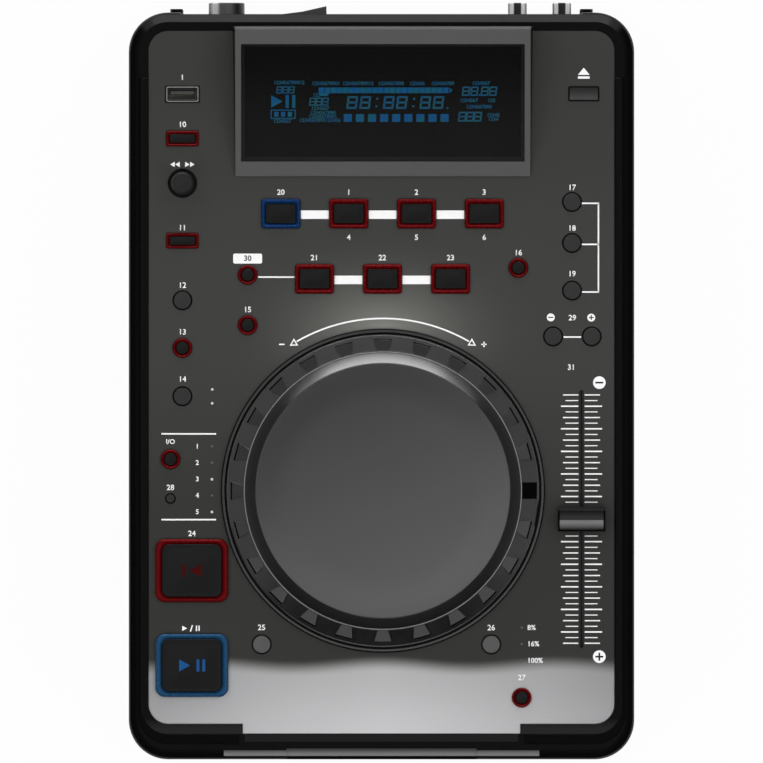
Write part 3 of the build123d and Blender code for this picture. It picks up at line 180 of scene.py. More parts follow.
class Graph:
    """The node tree of a material or of the world, in the making."""

    def __init__(self, tree):
        self.tree = tree
        self.coords = None

    def node(self, kind, settings=None, sockets=None, output=None):
        """Adds a node: first its settings, then the values or links of its sockets."""
        fresh = self.tree.nodes.new(kind)
        for key, value in (settings or {}).items():
            setattr(fresh, key, value)
        for key, value in (sockets or {}).items():
            if isinstance(key, int):
                socket = fresh.inputs[key]
            else:
                socket = next(s for s in fresh.inputs if s.name == key and s.enabled)
            if isinstance(value, Wire):
                self.tree.links.new(value.socket, socket)
            else:
                socket.default_value = value
        outputs = [s for s in fresh.outputs if s.enabled]
        return Wire(self, next(s for s in outputs if output in (None, s.name)))

    def place(self):
        """Object coordinates, in metres."""
        if self.coords is None:
            self.coords = self.node("ShaderNodeTexCoord", output="Object")
        return self.coords

    def axes(self):
        """The three object coordinates, in millimetres."""
        split = self.node("ShaderNodeSeparateXYZ", sockets={"Vector": self.place()})
        outputs = split.socket.node.outputs
        return [Wire(self, outputs[axis]) * (1 / MM) for axis in "XYZ"]

    def noise(self, size, detail, stretch=(1, 1, 1)):
        """Noise of 0 to 1 whose blots are about this many millimetres, stretched along the axes."""
        scale = tuple(1 / factor for factor in stretch)
        stretched = self.node("ShaderNodeMapping", sockets={"Vector": self.place(), "Scale": scale})
        sockets = {"Vector": stretched, "Scale": 1 / (size * MM), "Detail": detail}
        return self.node("ShaderNodeTexNoise", sockets=sockets)

    def step(self, value, start, stop):
        """A smooth step from 0 at start to 1 at stop."""
        sockets = {"Value": value, "From Min": min(start, stop), "From Max": max(start, stop)}
        rise = self.node("ShaderNodeMapRange", {"interpolation_type": "SMOOTHSTEP"}, sockets)
        return 1 - rise if start > stop else rise

    def band(self, value, start, stop, soft):
        """1 between start and stop, 0 outside, with edges this soft."""
        rise = self.step(value, start - soft / 2, start + soft / 2)
        return rise * self.step(value, stop + soft / 2, stop - soft / 2)

    def mixed(self, share, first, second):
        """The first colour where share is 0, the second where it is 1."""
        sockets = {"Factor": share, "A": first, "B": second}
        return self.node("ShaderNodeMix", {"data_type": "RGBA"}, sockets)

    def scaled(self, colour, amount):
        """A colour made lighter or darker by an amount that varies."""
        sockets = {0: colour[:3] if isinstance(colour, tuple) else colour, "Scale": amount}
        return self.node("ShaderNodeVectorMath", {"operation": "SCALE"}, sockets)

    def wavered(self, value, spread, size, detail):
        """A value that rises and falls by half this spread, in blots of this size."""
        return value + spread * (self.noise(size, detail) - 0.5)


class Finish(Graph):
    """A material in the making: its graph and the shader that this feeds."""

    def __init__(self, name, specular=0.5, uniform=None):
        self.material = bpy.data.materials.new(name)
        self.material.use_nodes = True
        super().__init__(self.material.node_tree)
        self.shader = self.tree.nodes["Principled BSDF"]
        self.feed("Specular IOR Level", specular)
        for socket, value in (uniform or {}).items():
            self.feed(socket, value)

    def feed(self, socket, value):
        if isinstance(value, Wire):
            self.tree.links.new(value.socket, self.shader.inputs[socket])
        else:
            self.shader.inputs[socket].default_value = value

    def relief(self, height, depth, soft=0.0):
        """Bump from a height of 0 to 1, this many millimetres deep, and edges that look softened."""
        sockets = {"Height": height, "Distance": depth * MM}
        if soft:
            sockets["Normal"] = self.node("ShaderNodeBevel", {"samples": 4}, {"Radius": soft * MM})
        self.feed("Normal", self.node("ShaderNodeBump", sockets=sockets))

    def done(self, colour, tone, roughness, metallic=0.0):
        """The material, once it has its colour times a tone, and its gloss."""
        self.feed("Base Color", self.scaled(colour, tone))
        self.feed("Roughness", roughness)
        self.feed("Metallic", metallic)
        return self.material


def moulded(name, level, roughness, grain=0.35, depth=0.012, specular=0.4, colour=None):
    """Moulded plastic: a fine even grain, faint blotches in tone and slightly uneven gloss."""
    finish = Finish(name, specular)
    finish.relief(finish.noise(grain, 2), depth, 0.2)
    tone = 0.88 + 0.24 * finish.noise(22, 3)
    return finish.done(colour or grey(level), tone, finish.wavered(roughness, 0.14, 6, 4))


def plated(name, colour, roughness, streak=(1, 1, 1)):
    """Bare or plated metal with fine streaks along its longest stretch."""
    finish = Finish(name)
    streaks = finish.noise(0.5, 3, streak)
    cloud = finish.noise(9, 3)
    finish.relief(streaks, 0.004)
    uneven = roughness + 0.12 * (cloud - 0.5) + 0.1 * (streaks - 0.5)
    return finish.done(colour, 0.86 + 0.2 * cloud + 0.08 * streaks, uneven, 1.0)


def powder_coat():
    """Black powder coat with its fine orange peel."""
    finish = Finish("powder_coat", 0.4)
    peel = finish.noise(0.9, 3)
    finish.relief(peel, 0.03)
    return finish.done(grey(27), 0.9 + 0.2 * finish.noise(20, 2), 0.5 + 0.15 * (peel - 0.5))


def cabinet_finish():
    """Black moulding with a fine grain, darkest in the groove as painted shade, with painted highlights on
    the front lip and rim and a strip of painted reflection along the front slope.
    """
    finish = Finish("cabinet", 0.2)
    x, y, z = finish.axes()
    # painted shade: darkest in the groove
    groove = finish.step(z, DECK - 0.4, DECK - 1.4) * finish.step(z, DECK - 5, DECK - 2.6)
    groove = groove * finish.step(x.size(), 113, 111)
    tone = linear(CABINET_LEVEL) * (1 - 0.7 * groove) * (0.85 + 0.3 * finish.noise(25, 3))
    depth = y - FRONT_EDGE
    # painted highlights: the lip along the front, and the rim between the finger relief's ends
    lip = finish.step(z, DECK + 0.2, DECK + 0.6) * finish.step(depth, 19, 13)
    tone = tone + linear(30) * lip
    rim = finish.step(x.size(), RELIEF_HALF + 0.6, RELIEF_HALF) * finish.band(depth, 7.9, 12.0, 0.3)
    rim = rim * finish.step(z, DECK - 0.4, DECK - 0.1)
    tone = tone + linear(22) * rim
    # painted reflection: a lighter strip on the front slope, brightest towards its front edge
    strip = finish.step(x.size(), STRIP_HALF + 0.3, STRIP_HALF) * finish.band(depth, 1.55, 5.8, 0.3)
    strip = strip * finish.step(z, DECK - 0.05, DECK - 0.3) * finish.step(z, DECK - 4.5, DECK - 4.0)
    tone = tone + strip * shade(finish.step(depth, 4.8, 2.0), *STRIP_LEVELS)
    wall = finish.step(z, DECK - 3, DECK - 5)
    finish.relief(finish.noise(0.3, 2), 0.006, 0.3)
    return finish.done((1.0, 1.0, 1.02), tone, finish.wavered(0.22 + 0.1 * wall, 0.1, 7, 4))


def deck_finish():
    """Satin gunmetal with painted light: graded from rear to front, a pale band of painted reflection along
    the front, and a painted glow above the jog wheel.
    """
    finish = Finish("deck_metal", 0.4)
    x, y, _ = finish.axes()
    # painted light: the dark part is lighter in the middle than at the rear and the front
    rear, mid, front = (linear(level) for level in DECK_LEVELS)
    tone = rear + (mid - rear) * finish.step(y, 140, 45) + (front - mid) * finish.step(y, 20, -70)
    across = x - JOG.x
    above = y - (JOG.y + 71.0)
    # painted glow of light above the jog wheel: its edge is an ellipse, 1.6 times as wide as it is deep
    away = (across * across + above * above * 1.6**2) ** 0.5
    painted_glow = ((1 - away / PAINTED_GLOW_REACH).clamped()) ** 2.6
    painted_glow = painted_glow * finish.step(y, JOG.y + 20, JOG.y + 62)
    tone = tone + painted_glow * (linear(PAINTED_GLOW_LEVEL) - mid)
    # painted reflection: the pale band along the front, with a faint wave in its edge and dimmer towards the
    # sides
    turns = x * (2 * pi / BAND_WAVE[0])
    wave = turns.maths("COSINE", turns)
    band = finish.step(y - BAND_WAVE[1] * wave, *BAND_EDGE)
    painted_reflection_tone = shade(finish.step(y, -127, -156), *REFLECTION_BAND_LEVELS)
    painted_reflection_tone = painted_reflection_tone * (1 - 0.4 * (x.size() / 104) ** 1.3)
    streaks = finish.noise(0.28, 3, (60, 1, 1))
    cloud = finish.noise(30, 2)
    tone = blend(band, tone, painted_reflection_tone) * (0.955 + 0.06 * streaks + 0.03 * cloud)
    tint = finish.mixed(band, (1.0, 1.0, 0.93, 1), (1.0, 1.0, 1.02, 1))
    roughness = 0.4 + 0.08 * (streaks - 0.5) + 0.06 * (cloud - 0.5)
    finish.relief(streaks, 0.003, 0.15)
    return finish.done(tint, tone, roughness, 0.25 - 0.15 * band)


def from_jog_axis(finish):
    """The distances from the jog wheel's axis: across, along and straight out."""
    x, y, _ = finish.axes()
    across, along = x - JOG.x, y - JOG.y
    return across, along, (across * across + along * along) ** 0.5


def jog_plate_finish():
    """Spun dark metal: fine turning marks, a very slightly domed sheen and a rolled edge made bright as a
    painted highlight.
    """
    finish = Finish("jog_metal")
    radius = from_jog_axis(finish)[2]
    edge = finish.step(radius, CONE[1], CONE[1] + 0.15)
    face = finish.step(radius, CONE[0], CONE[0] - 0.3)
    sockets = {"W": radius * 3.2, "Detail": 3.0}
    grooves = finish.node("ShaderNodeTexNoise", {"noise_dimensions": "1D"}, sockets)
    cloud = finish.noise(40, 2)
    cone_tone, face_tone, edge_highlight_tone = (linear(level) for level in JOG_LEVELS)
    # the rolled edge's bright tone is a painted highlight
    tone = cone_tone + face * (face_tone - cone_tone) + edge * (edge_highlight_tone - cone_tone)
    tone = tone * (0.9 + 0.14 * grooves + 0.06 * cloud)
    roughness = 0.22 + 0.02 * face + 0.12 * edge + 0.08 * (grooves - 0.5)
    dome = 1 - (radius / 60) ** 2
    finish.relief(dome * face + 0.0007 * grooves, 2.5)
    return finish.done(WHITE, tone, roughness, 1 - 0.1 * face - 0.5 * edge)


def satin_metal(name, level, roughness, metallic, rim=False):
    """Dark metallic paint with a satin sheen, as on the jog wheel's rim and its collar, blackened in places
    as painted shade.
    """
    finish = Finish(name, 0.45)
    tone = 0.9 + 0.2 * finish.noise(14, 3)
    across, along, radius = from_jog_axis(finish)
    z = finish.axes()[2]
    if rim:
        # painted shade: black in the finger pocket on the right and on the facets at the lands' outer ends
        inside = finish.band(across, *POCKET, 0.1) * finish.step(along.size(), *POCKET_HALF)
        facets = finish.band(radius, LAND_END - LAND_FACET, LAND_END + 0.1, 0.1)
        facets = facets * finish.step(z, DECK + 5.1, DECK + 5.3)
        tone = tone * (1 - 0.96 * inside.greater(facets))
    else:
        # painted shade: black in the collar's trough and on its outer edge
        edge = finish.step(radius, 71.15, 71.3)
        tone = tone * (1 - 0.93 * edge.greater(finish.step(z, TROUGH + 0.3, TROUGH + 0.1)))
    finish.relief(finish.noise(0.35, 2), 0.01, 0.25)
    uneven = metallic + 0.06 * finish.noise(9, 2)
    return finish.done(grey(level), tone, finish.wavered(roughness, 0.08, 5, 4), uneven)


def glow_finish(name, colour, glow, other=None):
    """Tinted glossy plastic, lit a little from below. A second tint holds behind a line across the deck."""
    finish = Finish(name, 0.4, {"Emission Strength": 1.0})
    if other:
        line, tint = other
        y = finish.axes()[1]
        colour = finish.mixed(finish.step(y, line - 5, line + 5), (*colour, 1), (*tint, 1))
    finish.feed("Emission Color", finish.scaled(glow, 0.75 + 0.5 * finish.noise(5, 2)))
    finish.relief(finish.noise(0.5, 2), 0.004)
    tone = 0.9 + 0.2 * finish.noise(3, 2)
    return finish.done(colour, tone, finish.wavered(0.27, 0.1, 2, 3), 0.6 + 0.1 * finish.noise(4, 2))


def lamp_finish(name, colour, strength, other=None):
    """A lit mark: display segments and key legends. A second colour clouds the first in places."""
    finish = Finish(name, 0.08, {"Emission Strength": strength, "Roughness": 0.5})
    uneven = 0.8 + 0.4 * finish.noise(4, 2)
    if other:
        cloud = finish.step(finish.noise(5, 1), 0.42, 0.62)
        shown = finish.mixed(cloud, (*colour, 1), (*other, 1))
        finish.feed("Base Color", grey(20))
        finish.feed("Emission Color", finish.scaled(shown, uneven))
        return finish.material
    finish.feed("Base Color", finish.scaled(tuple(0.1 * part for part in colour), uneven))
    finish.feed("Emission Color", finish.scaled(colour, uneven))
    return finish.material


def ink_finish(name, level):
    """Screen-printed ink, slightly uneven."""
    finish = Finish(name, 0.3)
    return finish.done(grey(level), 0.95 + 0.1 * finish.noise(2.5, 3), finish.wavered(0.55, 0.2, 0.6, 3))


def cap_finish():
    """The fader's cap with painted light and shade: a black painted shadow round its edge, dark behind its
    groove and a lighter band in front of it.
    """
    finish = Finish("fader_cap", 0.12)
    x, y, z = finish.axes()
    # painted light and shade: dark behind the groove, lighter on the band in front of it
    front = finish.step(y, FADER.y - 0.35, FADER.y - 0.55) * finish.step(z, DECK + 4, DECK + 6)
    rear_tone = shade(finish.step(y, FADER.y + 4.5, FADER.y), 16, 50)
    front_tone = shade(finish.step(y, FADER.y - 4.5, FADER.y - 1.0), 56, 116)
    # painted shadow: black round the edge of the cap's top
    half = size_of("fader_slider") / 2
    top = finish.step((x - FADER.x).size(), half.x - 0.75, half.x - 0.95)
    top = top * finish.step((y - FADER_CAP.y).size(), half.y - 0.75, half.y - 0.95)
    tone = linear(3) + top * blend(front, rear_tone, front_tone)
    finish.relief(finish.noise(0.3, 2), 0.008, 0.2)
    return finish.done(WHITE, tone * (0.9 + 0.2 * finish.noise(5, 3)), finish.wavered(0.36, 0.12, 3, 3))


def key_finish(name, level, graded=None):
    """A plain key's cap, with painted shade black in the gap round it, and on the open key painted light
    that makes it paler towards its front edge.
    """
    finish = Finish(name, 0.35)
    _, y, z = finish.axes()
    tone = linear(level)
    # painted light: the open key is paler towards its front edge
    if graded:
        key = middle("eject_key")
        tone = shade(finish.step(y, key.y + 2.6, key.y - 2.9), level, graded)
    # painted shade: black in the gap round the cap, below the deck
    tone = tone * (1 - 0.95 * finish.step(z, DECK - 0.1, DECK - 0.5))
    finish.relief(finish.noise(0.3, 2), 0.01, 0.2)
    return finish.done(WHITE, tone * (0.92 + 0.16 * finish.noise(6, 3)), finish.wavered(0.38, 0.1, 5, 3))


def smoked_glass():
    """The display's window: dark smoked sheet that lets half of the light through, with a faint haze, paler
    towards its front as a painted reflection.
    """
    finish = Finish("display_glass", 0.1)
    y = finish.axes()[1]
    # painted reflection: paler towards the front
    tone = shade(finish.step(y, WINDOW.y + 22, WINDOW.y - 24), 15, 34)
    finish.feed("Alpha", 0.42 + 0.06 * finish.noise(25, 2))
    return finish.done(WHITE, tone * (0.9 + 0.2 * finish.noise(20, 2)), 0.06 + 0.05 * finish.noise(12, 3))


def hood_finish():
    """The display's housing: satin grey on its top, and black on its side walls as painted shade."""
    finish = Finish("display_hood", 0.3)
    x = finish.axes()[0]
    # painted shade: black on the side walls
    wall = finish.step((x - WINDOW.x).size(), 65.2, 65.5)
    tone = shade(wall, *HOOD_LEVELS) * (0.94 + 0.12 * finish.noise(30, 3))
    finish.relief(finish.noise(0.4, 2), 0.01, 0.25)
    return finish.done(WHITE, tone, finish.wavered(0.4, 0.14, 6, 4))


def board_finish():
    """Circuit boards: green mask with copper tracks, and dark parts standing on it."""
    finish = Finish("board")
    z = finish.axes()[2]
    lower, upper = (finish.band(z, *span, 0.1) for span in BOARD_SPANS)
    bare = lower.greater(upper)
    tracks = finish.step(finish.noise(2.2, 1, (3, 1, 1)), 0.52, 0.56)
    green = finish.mixed(tracks, (0.006, 0.05, 0.022, 1), (0.012, 0.11, 0.045, 1))
    finish.feed("Base Color", finish.mixed(bare, grey(30), green))
    finish.feed("Roughness", 0.32 + 0.2 * (1 - bare))
    finish.relief(tracks, 0.03)
    return finish.material


def rubber_finish(name, level):
    """Soft black rubber with a dusty, finely pitted skin."""
    finish = Finish(name, 0.25)
    dust = finish.noise(8, 5)
    finish.relief(finish.noise(0.5, 3), 0.03)
    return finish.done(grey(level), 0.8 + 0.5 * dust, 0.72 + 0.2 * (dust - 0.5))


def shell_metal():
    """Bright nickel plating of the rear sockets, whose light and dark stripes are painted reflections, dark
    in the insulating blocks behind the panel.
    """
    finish = Finish("socket_metal")
    x, y, _ = finish.axes()
    outside = finish.step(y, PANEL_FACE - 0.4, PANEL_FACE)
    streaks = finish.noise(0.4, 2, (1, 20, 1))
    # painted reflections: light stripes along the two audio shells, and one along the left of the power
    # inlet, whose right side and left edge are darkened
    across = ((x - AUDIO_X[0]).size()).lesser((x - AUDIO_X[1]).size()) / AUDIO_RADIUS
    audio = shade(finish.band(across, 0.4, 0.84, 0.14), 44, 250)
    turn = (x - INLET_X) / INLET_RADIUS
    inlet = shade(finish.band(turn, -0.82, -0.45, 0.25), 92, 225)
    inlet = inlet * (1 - 0.8 * finish.step(turn, 0.2, 0.55)) * (1 - 0.7 * finish.step(turn, -0.86, -0.95))
    shells = blend(finish.step(x, 1, -1), audio, inlet)
    roughness = 0.45 - 0.2 * outside + 0.08 * (streaks - 0.5)
    finish.relief(streaks, 0.004)
    return finish.done(WHITE, blend(outside, linear(24), shells), roughness, 0.05 * outside)


# Modelling


def mm(*numbers):
    """A point or size in millimetres as a vector in metres."""
    return Vector(numbers) * MM


def choose(*things):
    """Selects these objects and makes the first of them active."""
    bpy.ops.object.select_all(action="DESELECT")
    for thing in things:
        thing.select_set(True)
    bpy.context.view_layer.objects.active = things[0]


def made():
    """The object that an operator has just added."""
    return bpy.context.view_layer.objects.active


def settle(thing):
    """Moves an object's place, turn and scale into its mesh."""
    choose(thing)
    bpy.ops.object.transform_apply(location=True, rotation=True, scale=True)
    return thing


def added(operator, **settings):
    """What an operator adds to the scene, settled."""
    bpy.ops.object.select_all(action="DESELECT")
    operator(**settings)
    return settle(made())


def block(place, size):
    """A box of this size round a point, both in millimetres."""
    return added(bpy.ops.mesh.primitive_cube_add, size=1, location=mm(*place), scale=mm(*size))


def rod(place, radius, depth, axis="Z", sides=64):
    """A cylinder round a point, in millimetres."""
    turn = {"Y": (pi / 2, 0, 0), "Z": (0, 0, 0)}[axis]
    size = {"vertices": sides, "radius": radius * MM, "depth": depth * MM}
    return added(bpy.ops.mesh.primitive_cylinder_add, location=mm(*place), rotation=turn, **size)


class Editing:
    """Edit mode on one mesh, in which faces, edges or vertices are selected by a test on each."""

    def __init__(self, thing):
        self.thing = thing

    def __enter__(self):
        choose(self.thing)
        bpy.ops.object.mode_set(mode="EDIT")
        bpy.ops.mesh.select_mode(type="VERT")
        return self

    def __exit__(self, *_):
        bpy.ops.object.mode_set(mode="OBJECT")

    def select(self, kind, test):
        """Selects what passes the test: kind is verts, edges or faces."""
        bpy.ops.mesh.select_mode(type={"verts": "VERT", "edges": "EDGE", "faces": "FACE"}[kind])
        bpy.ops.mesh.select_all(action="DESELECT")
        mesh = bmesh.from_edit_mesh(self.thing.data)
        for item in getattr(mesh, kind):
            item.select = test(item)
        mesh.select_flush_mode()
        bmesh.update_edit_mesh(self.thing.data)

    def everything(self):
        bpy.ops.mesh.select_all(action="SELECT")

    def upper_faces(self):
        self.select("faces", lambda face: face.normal.z > 0.9)

    def weld(self):
        """Merges the vertices that lie on each other, closer than two thousandths of a millimetre."""
        self.everything()
        bpy.ops.mesh.remove_doubles(threshold=0.002 * MM)

    def outward(self):
        """Turns every face to look outwards."""
        self.everything()
        bpy.ops.mesh.normals_make_consistent(inside=False)


def modified(thing, kind, **settings):
    """Gives an object one modifier and applies it."""
    choose(thing)
    modifier = thing.modifiers.new(kind.title(), kind)
    for key, value in settings.items():
        setattr(modifier, key, value)
    bpy.ops.object.modifier_apply(modifier=modifier.name)
    return thing


def bevelled(thing, width, segments=2):
    """Rounds the sharp edges and smooths the shading between them."""
    modified(thing, "BEVEL", width=width * MM, segments=segments, angle_limit=radians(30))
    return smooth(thing)


def smooth(thing, angle=35):
    choose(thing)
    bpy.ops.object.shade_smooth_by_angle(angle=radians(angle))
    return thing


def joined(things):
    """One mesh out of several."""
    choose(*things)
    bpy.ops.object.join()
    return things[0]


def copied(thing, x, y, scale=1.0, turn=0.0):
    """A copy with its own mesh, scaled and turned about the origin and then moved, in millimetres."""
    copy = thing.copy()
    copy.data = thing.data.copy()
    bpy.context.scene.collection.objects.link(copy)
    copy.location = mm(x, y, 0)
    copy.rotation_euler = (0, 0, radians(turn))
    copy.scale = (scale, scale, scale)
    return settle(copy)


def dropped(thing):
    """Removes a pattern object that only its copies needed."""
    bpy.data.objects.remove(thing)


def traced(points):
    """A chain of edges through these points, in millimetres, drawn out from a single vertex."""
    thing = added(bpy.ops.mesh.primitive_plane_add, size=MM, location=mm(*points[0]))
    with Editing(thing) as editing:
        editing.everything()
        bpy.ops.mesh.merge(type="CENTER")
        for start, stop in zip(points, points[1:]):
            step = mm(*stop) - mm(*start)
            bpy.ops.mesh.extrude_vertices_move(TRANSFORM_OT_translate={"value": step})
    return thing


def turned(section, centre, steps):
    """Spins a section of (radius, height) points round an upright axis through centre."""
    thing = traced([(centre.x + radius, centre.y, height) for radius, height in section])
    with Editing(thing) as editing:
        editing.everything()
        axis_point = mm(centre.x, centre.y, 0)
        bpy.ops.mesh.spin(steps=steps, angle=2 * pi, center=axis_point, axis=(0, 0, 1))
        editing.weld()
        editing.outward()
    return smooth(thing)


def dress(piece, name, body, material, replaces=()):
    """Names a finished piece, gives it its material and tells the frame where it belongs."""
    piece.name = name
    piece.data.name = name
    piece.data.materials.clear()
    piece.data.materials.append(material)
    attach(piece, body)
    if replaces:
        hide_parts(*replaces)
    return piece


# Flat marks, drawn at height 0 and joined into prints


def bar(x, y, width, height, turn=0.0):
    bpy.ops.object.select_all(action="DESELECT")
    bpy.ops.mesh.primitive_plane_add(size=1, location=mm(x, y, 0), rotation=(0, 0, radians(turn)))
    made().scale = (width * MM, height * MM, 1)
    return settle(made())


def rule(start, stop, y, line):
    """A level line from one place across the deck to another."""
    return bar((start + stop) / 2, y, stop - start, line)


def disc(x, y, radius, sides=40):
    settings = {"vertices": sides, "radius": radius * MM, "fill_type": "NGON"}
    return added(bpy.ops.mesh.primitive_circle_add, location=mm(x, y, 0), **settings)


def hoop(x, y, radius, line, sides):
    """A ring whose outside has this radius."""
    thing = disc(x, y, radius, sides)
    with Editing(thing) as editing:
        editing.everything()
        bpy.ops.mesh.inset(thickness=line * MM)
        bpy.ops.mesh.delete(type="FACE")
    return thing


def plate(*points):
    """A flat shape with these corners."""
    thing = traced([(x, y, 0) for x, y in points])
    with Editing(thing) as editing:
        editing.everything()
        bpy.ops.mesh.edge_face_add()
    return thing


def sweep_mark(x, y, radius, line, start, stop):
    """A curved line: part of a ring, between two angles in degrees."""
    near, far = radius - line / 2, radius + line / 2
    first = radians(start)
    ends = [(x + r * cos(first), y + r * sin(first), 0) for r in (near, far)]
    thing = traced(ends)
    with Editing(thing) as editing:
        editing.everything()
        turn = radians(stop - start)
        bpy.ops.mesh.spin(steps=48, angle=turn, center=mm(x, y, 0), axis=(0, 0, -1))
        editing.weld()
    return thing


def number(text, x, y, height, align="CENTER"):
    """Plain figures, this high, centred on a point."""
    bpy.ops.object.select_all(action="DESELECT")
    bpy.ops.object.text_add(location=mm(x, y, 0))
    lettering = made()
    lettering.data.body = text
    lettering.data.size = height / 0.7 * MM
    lettering.data.offset = 0.075 * MM
    lettering.data.align_x = align
    lettering.data.align_y = "CENTER"
    lettering.data.resolution_u = 3
    choose(lettering)
    bpy.ops.object.convert(target="MESH")
    thing = settle(made())
    with Editing(thing) as editing:
        editing.weld()
    return thing


def play_sign(x, y, size):
    half = size / 2
    return plate((x - half * 0.9, y - half), (x + half * 0.9, y), (x - half * 0.9, y + half))


def pause_sign(x, y, size):
    return [bar(x + side * size * 0.24, y, size * 0.24, size) for side in (-1, 1)]


def plus_sign(x, y, size, line):
    return [bar(x, y, size, line), bar(x, y, line, size * 0.999)]


def face_up(thing):
    """Turns over the flat faces that look down."""
    with Editing(thing) as editing:
        editing.select("faces", lambda face: face.normal.z < 0)
        bpy.ops.mesh.flip_normals()
    return thing


def printed(marks, level, thickness=0.03):
    """Joins flat marks and gives them the thickness of a print that lies on this height."""
    thing = face_up(joined(marks))
    thing.location.z = (level - 0.01) * MM
    settle(thing)
    modified(thing, "SOLIDIFY", thickness=(thickness + 0.01) * MM, offset=1.0)
    return thing


# Labels: the generic signs beside each control, by the height above the control's centre
LABEL_RISE = {
    "folder_key": 6.1,
    "source_key": 5.7,
    "program_key": 6.6,
    "relay_key": 7.0,
    "jog_mode_key": 7.5,
    "brake_key": 6.8,
    "reverse_key": 6.6,
    "title_key": 6.3,
    "time_key": 6.5,
    "single_key": 7.4,
    "memory_key": 9.4,
    "loop_in_key": 9.3,
    "loop_out_key": 9.3,
    "reloop_key": 9.3,
    "cue_key": 16.3,
    "tap_key": 7.4,
    "range_key": 7.3,
    "master_tempo_key": 8.8,
    "effect_select_key": 4.8,
}
LABEL_HEIGHT = 2.4
THIN_LINE = 0.66
THICK_LINE = 3.75
EFFECT_ROWS = [-29.2 - 7.25 * row for row in range(5)]
RANGE_ROWS = (-109.5, -116.7, -124.1)


def key_numbers():
    """A plain number for each control, in the order in which the controls are listed."""
    marks = []
    for count, (node, rise) in enumerate(LABEL_RISE.items(), start=10):
        spot = middle(node)
        marks.append(number(f"{count}", spot.x, spot.y + rise, LABEL_HEIGHT))
    return marks


def control_signs():
    """Signs that say what a control does without words."""
    usb = middle("usb_socket")
    eject = middle("eject_key")
    track = middle("track_knob")
    play = middle("play_key")
    marks = [number("1", usb.x, usb.y + 7.3, LABEL_HEIGHT)]
    # eject: a wedge over a bar
    foot, half = eject.y + 8.4, 2.6
    marks.append(plate((eject.x - half, foot), (eject.x + half, foot), (eject.x, foot + 3.2)))
    marks.append(bar(eject.x, foot - 1.2, 2 * half, 1.0))
    # back and forward over the knob
    for side in (-1, 1):
        for shift in (2.2, 4.4):
            x = track.x + side * shift
            y = track.y + 8.3
            marks.append(plate((x - side, y - 1.2), (x + side, y), (x - side, y + 1.2)))
    # play and pause over the largest key
    y = play.y + 16.4
    marks.append(play_sign(play.x - 3.2, y, LABEL_HEIGHT))
    marks.append(bar(play.x - 0.2, y, 0.55, LABEL_HEIGHT + 0.6, -18))
    marks += pause_sign(play.x + 2.6, y, LABEL_HEIGHT)
    return marks


def pad_bars():
    """The thick bars between the pads of each row and the thin line from the small round key."""
    marks = []
    reach = 8.9
    for row in (UPPER_PADS, LOWER_PADS):
        for left, right in zip(row, row[1:]):
            start, stop = middle(left), middle(right)
            marks.append(rule(start.x + reach, stop.x - reach, start.y - 0.45, THICK_LINE))
    for count, node in enumerate(UPPER_PADS[1:], start=1):
        spot = middle(node)
        marks.append(number(f"{count}", spot.x, spot.y + 9.4, LABEL_HEIGHT))
        marks.append(number(f"{count + 3}", spot.x, spot.y - 10.6, LABEL_HEIGHT))
    memo, first = middle("memo_key"), middle("loop_in_key")
    marks.append(rule(memo.x + 4.6, first.x - reach, memo.y - 1.0, THIN_LINE))
    return marks


def bracket_lines():
    """The bracket behind the three round keys on the right, and the link between the bend keys."""
    spine = 96.1
    keys = [middle(node) for node in ("title_key", "time_key", "single_key")]
    reach, half = 4.7, THIN_LINE / 2
    marks = [rule(key.x + reach - half, spine + half, key.y - 0.6, THIN_LINE) for key in keys]
    top, bottom = keys[0].y - 0.6, keys[-1].y - 0.6
    marks.append(bar(spine, (top + bottom) / 2, THIN_LINE, top - bottom))
    minus, plus = middle("bend_minus_key"), middle("bend_plus_key")
    marks.append(rule(minus.x + reach, plus.x - reach, minus.y - 0.25, THIN_LINE))
    marks.append(number("29", (minus.x + plus.x) / 2, minus.y + 8.2, LABEL_HEIGHT))
    return marks


def effect_group():
    """Two rules round the effect controls, and the numbered list between them."""
    marks = [bar(-85.4, y, 24.2, THIN_LINE) for y in (-23.6, -61.6)]
    key = middle("effect_key")
    marks.append(number("I/O", key.x, key.y + 7.7, 2.1))
    marks += [number(f"{count}", -81.6, y, 2.1) for count, y in enumerate(EFFECT_ROWS, start=1)]
    return marks


def jog_arc():
    """The curved arrow above the jog wheel, with an open head at each end."""
    radius = 76.3
    spread = 30.0
    marks = [sweep_mark(JOG.x, JOG.y, radius, 0.7, 90 - spread, 90 + spread)]
    head = hoop(0, 0, 2.2, 0.55, 3)
    for side in (-1, 1):
        end = radians(90 - side * (spread + 1.4))
        tip = Vector((JOG.x + radius * cos(end), JOG.y + radius * sin(end)))
        along = Vector((sin(end), -cos(end))) * side
        # a hoop's first corner points along +Y, so the copy is turned to point along the arc
        spot = tip - along * 0.4
        marks.append(copied(head, spot.x, spot.y, turn=degrees(atan2(along.y, along.x)) - 90))
    dropped(head)
    # minus on the left and plus on the right
    y = JOG.y + 64.8
    marks += [bar(JOG.x - 44.8, y, 2.4, 0.6), bar(JOG.x + 44.8, y, 2.4, 0.6)]
    marks.append(bar(JOG.x + 44.8, y, 0.6, 2.399))
    return marks


def fader_scale():
    """The scale of the pitch fader: forty-five marks on both sides of its slot."""
    count, pitch = 45, 2.5
    inner = 1.4
    # every fourth mark is the longest and thickest, and those between two of them the next
    kinds = ((8.2, 0.52), (7.1, 0.42), (9.1, 0.62), (7.1, 0.42))
    start = FADER.y + pitch * (count - 1) / 2
    marks = []
    for index in range(count):
        reach, line = kinds[index % 4]
        y = start - pitch * index
        width = reach - inner
        for side in (-1, 1):
            marks.append(bar(FADER.x + side * (inner + width / 2), y, width, line))
    return marks


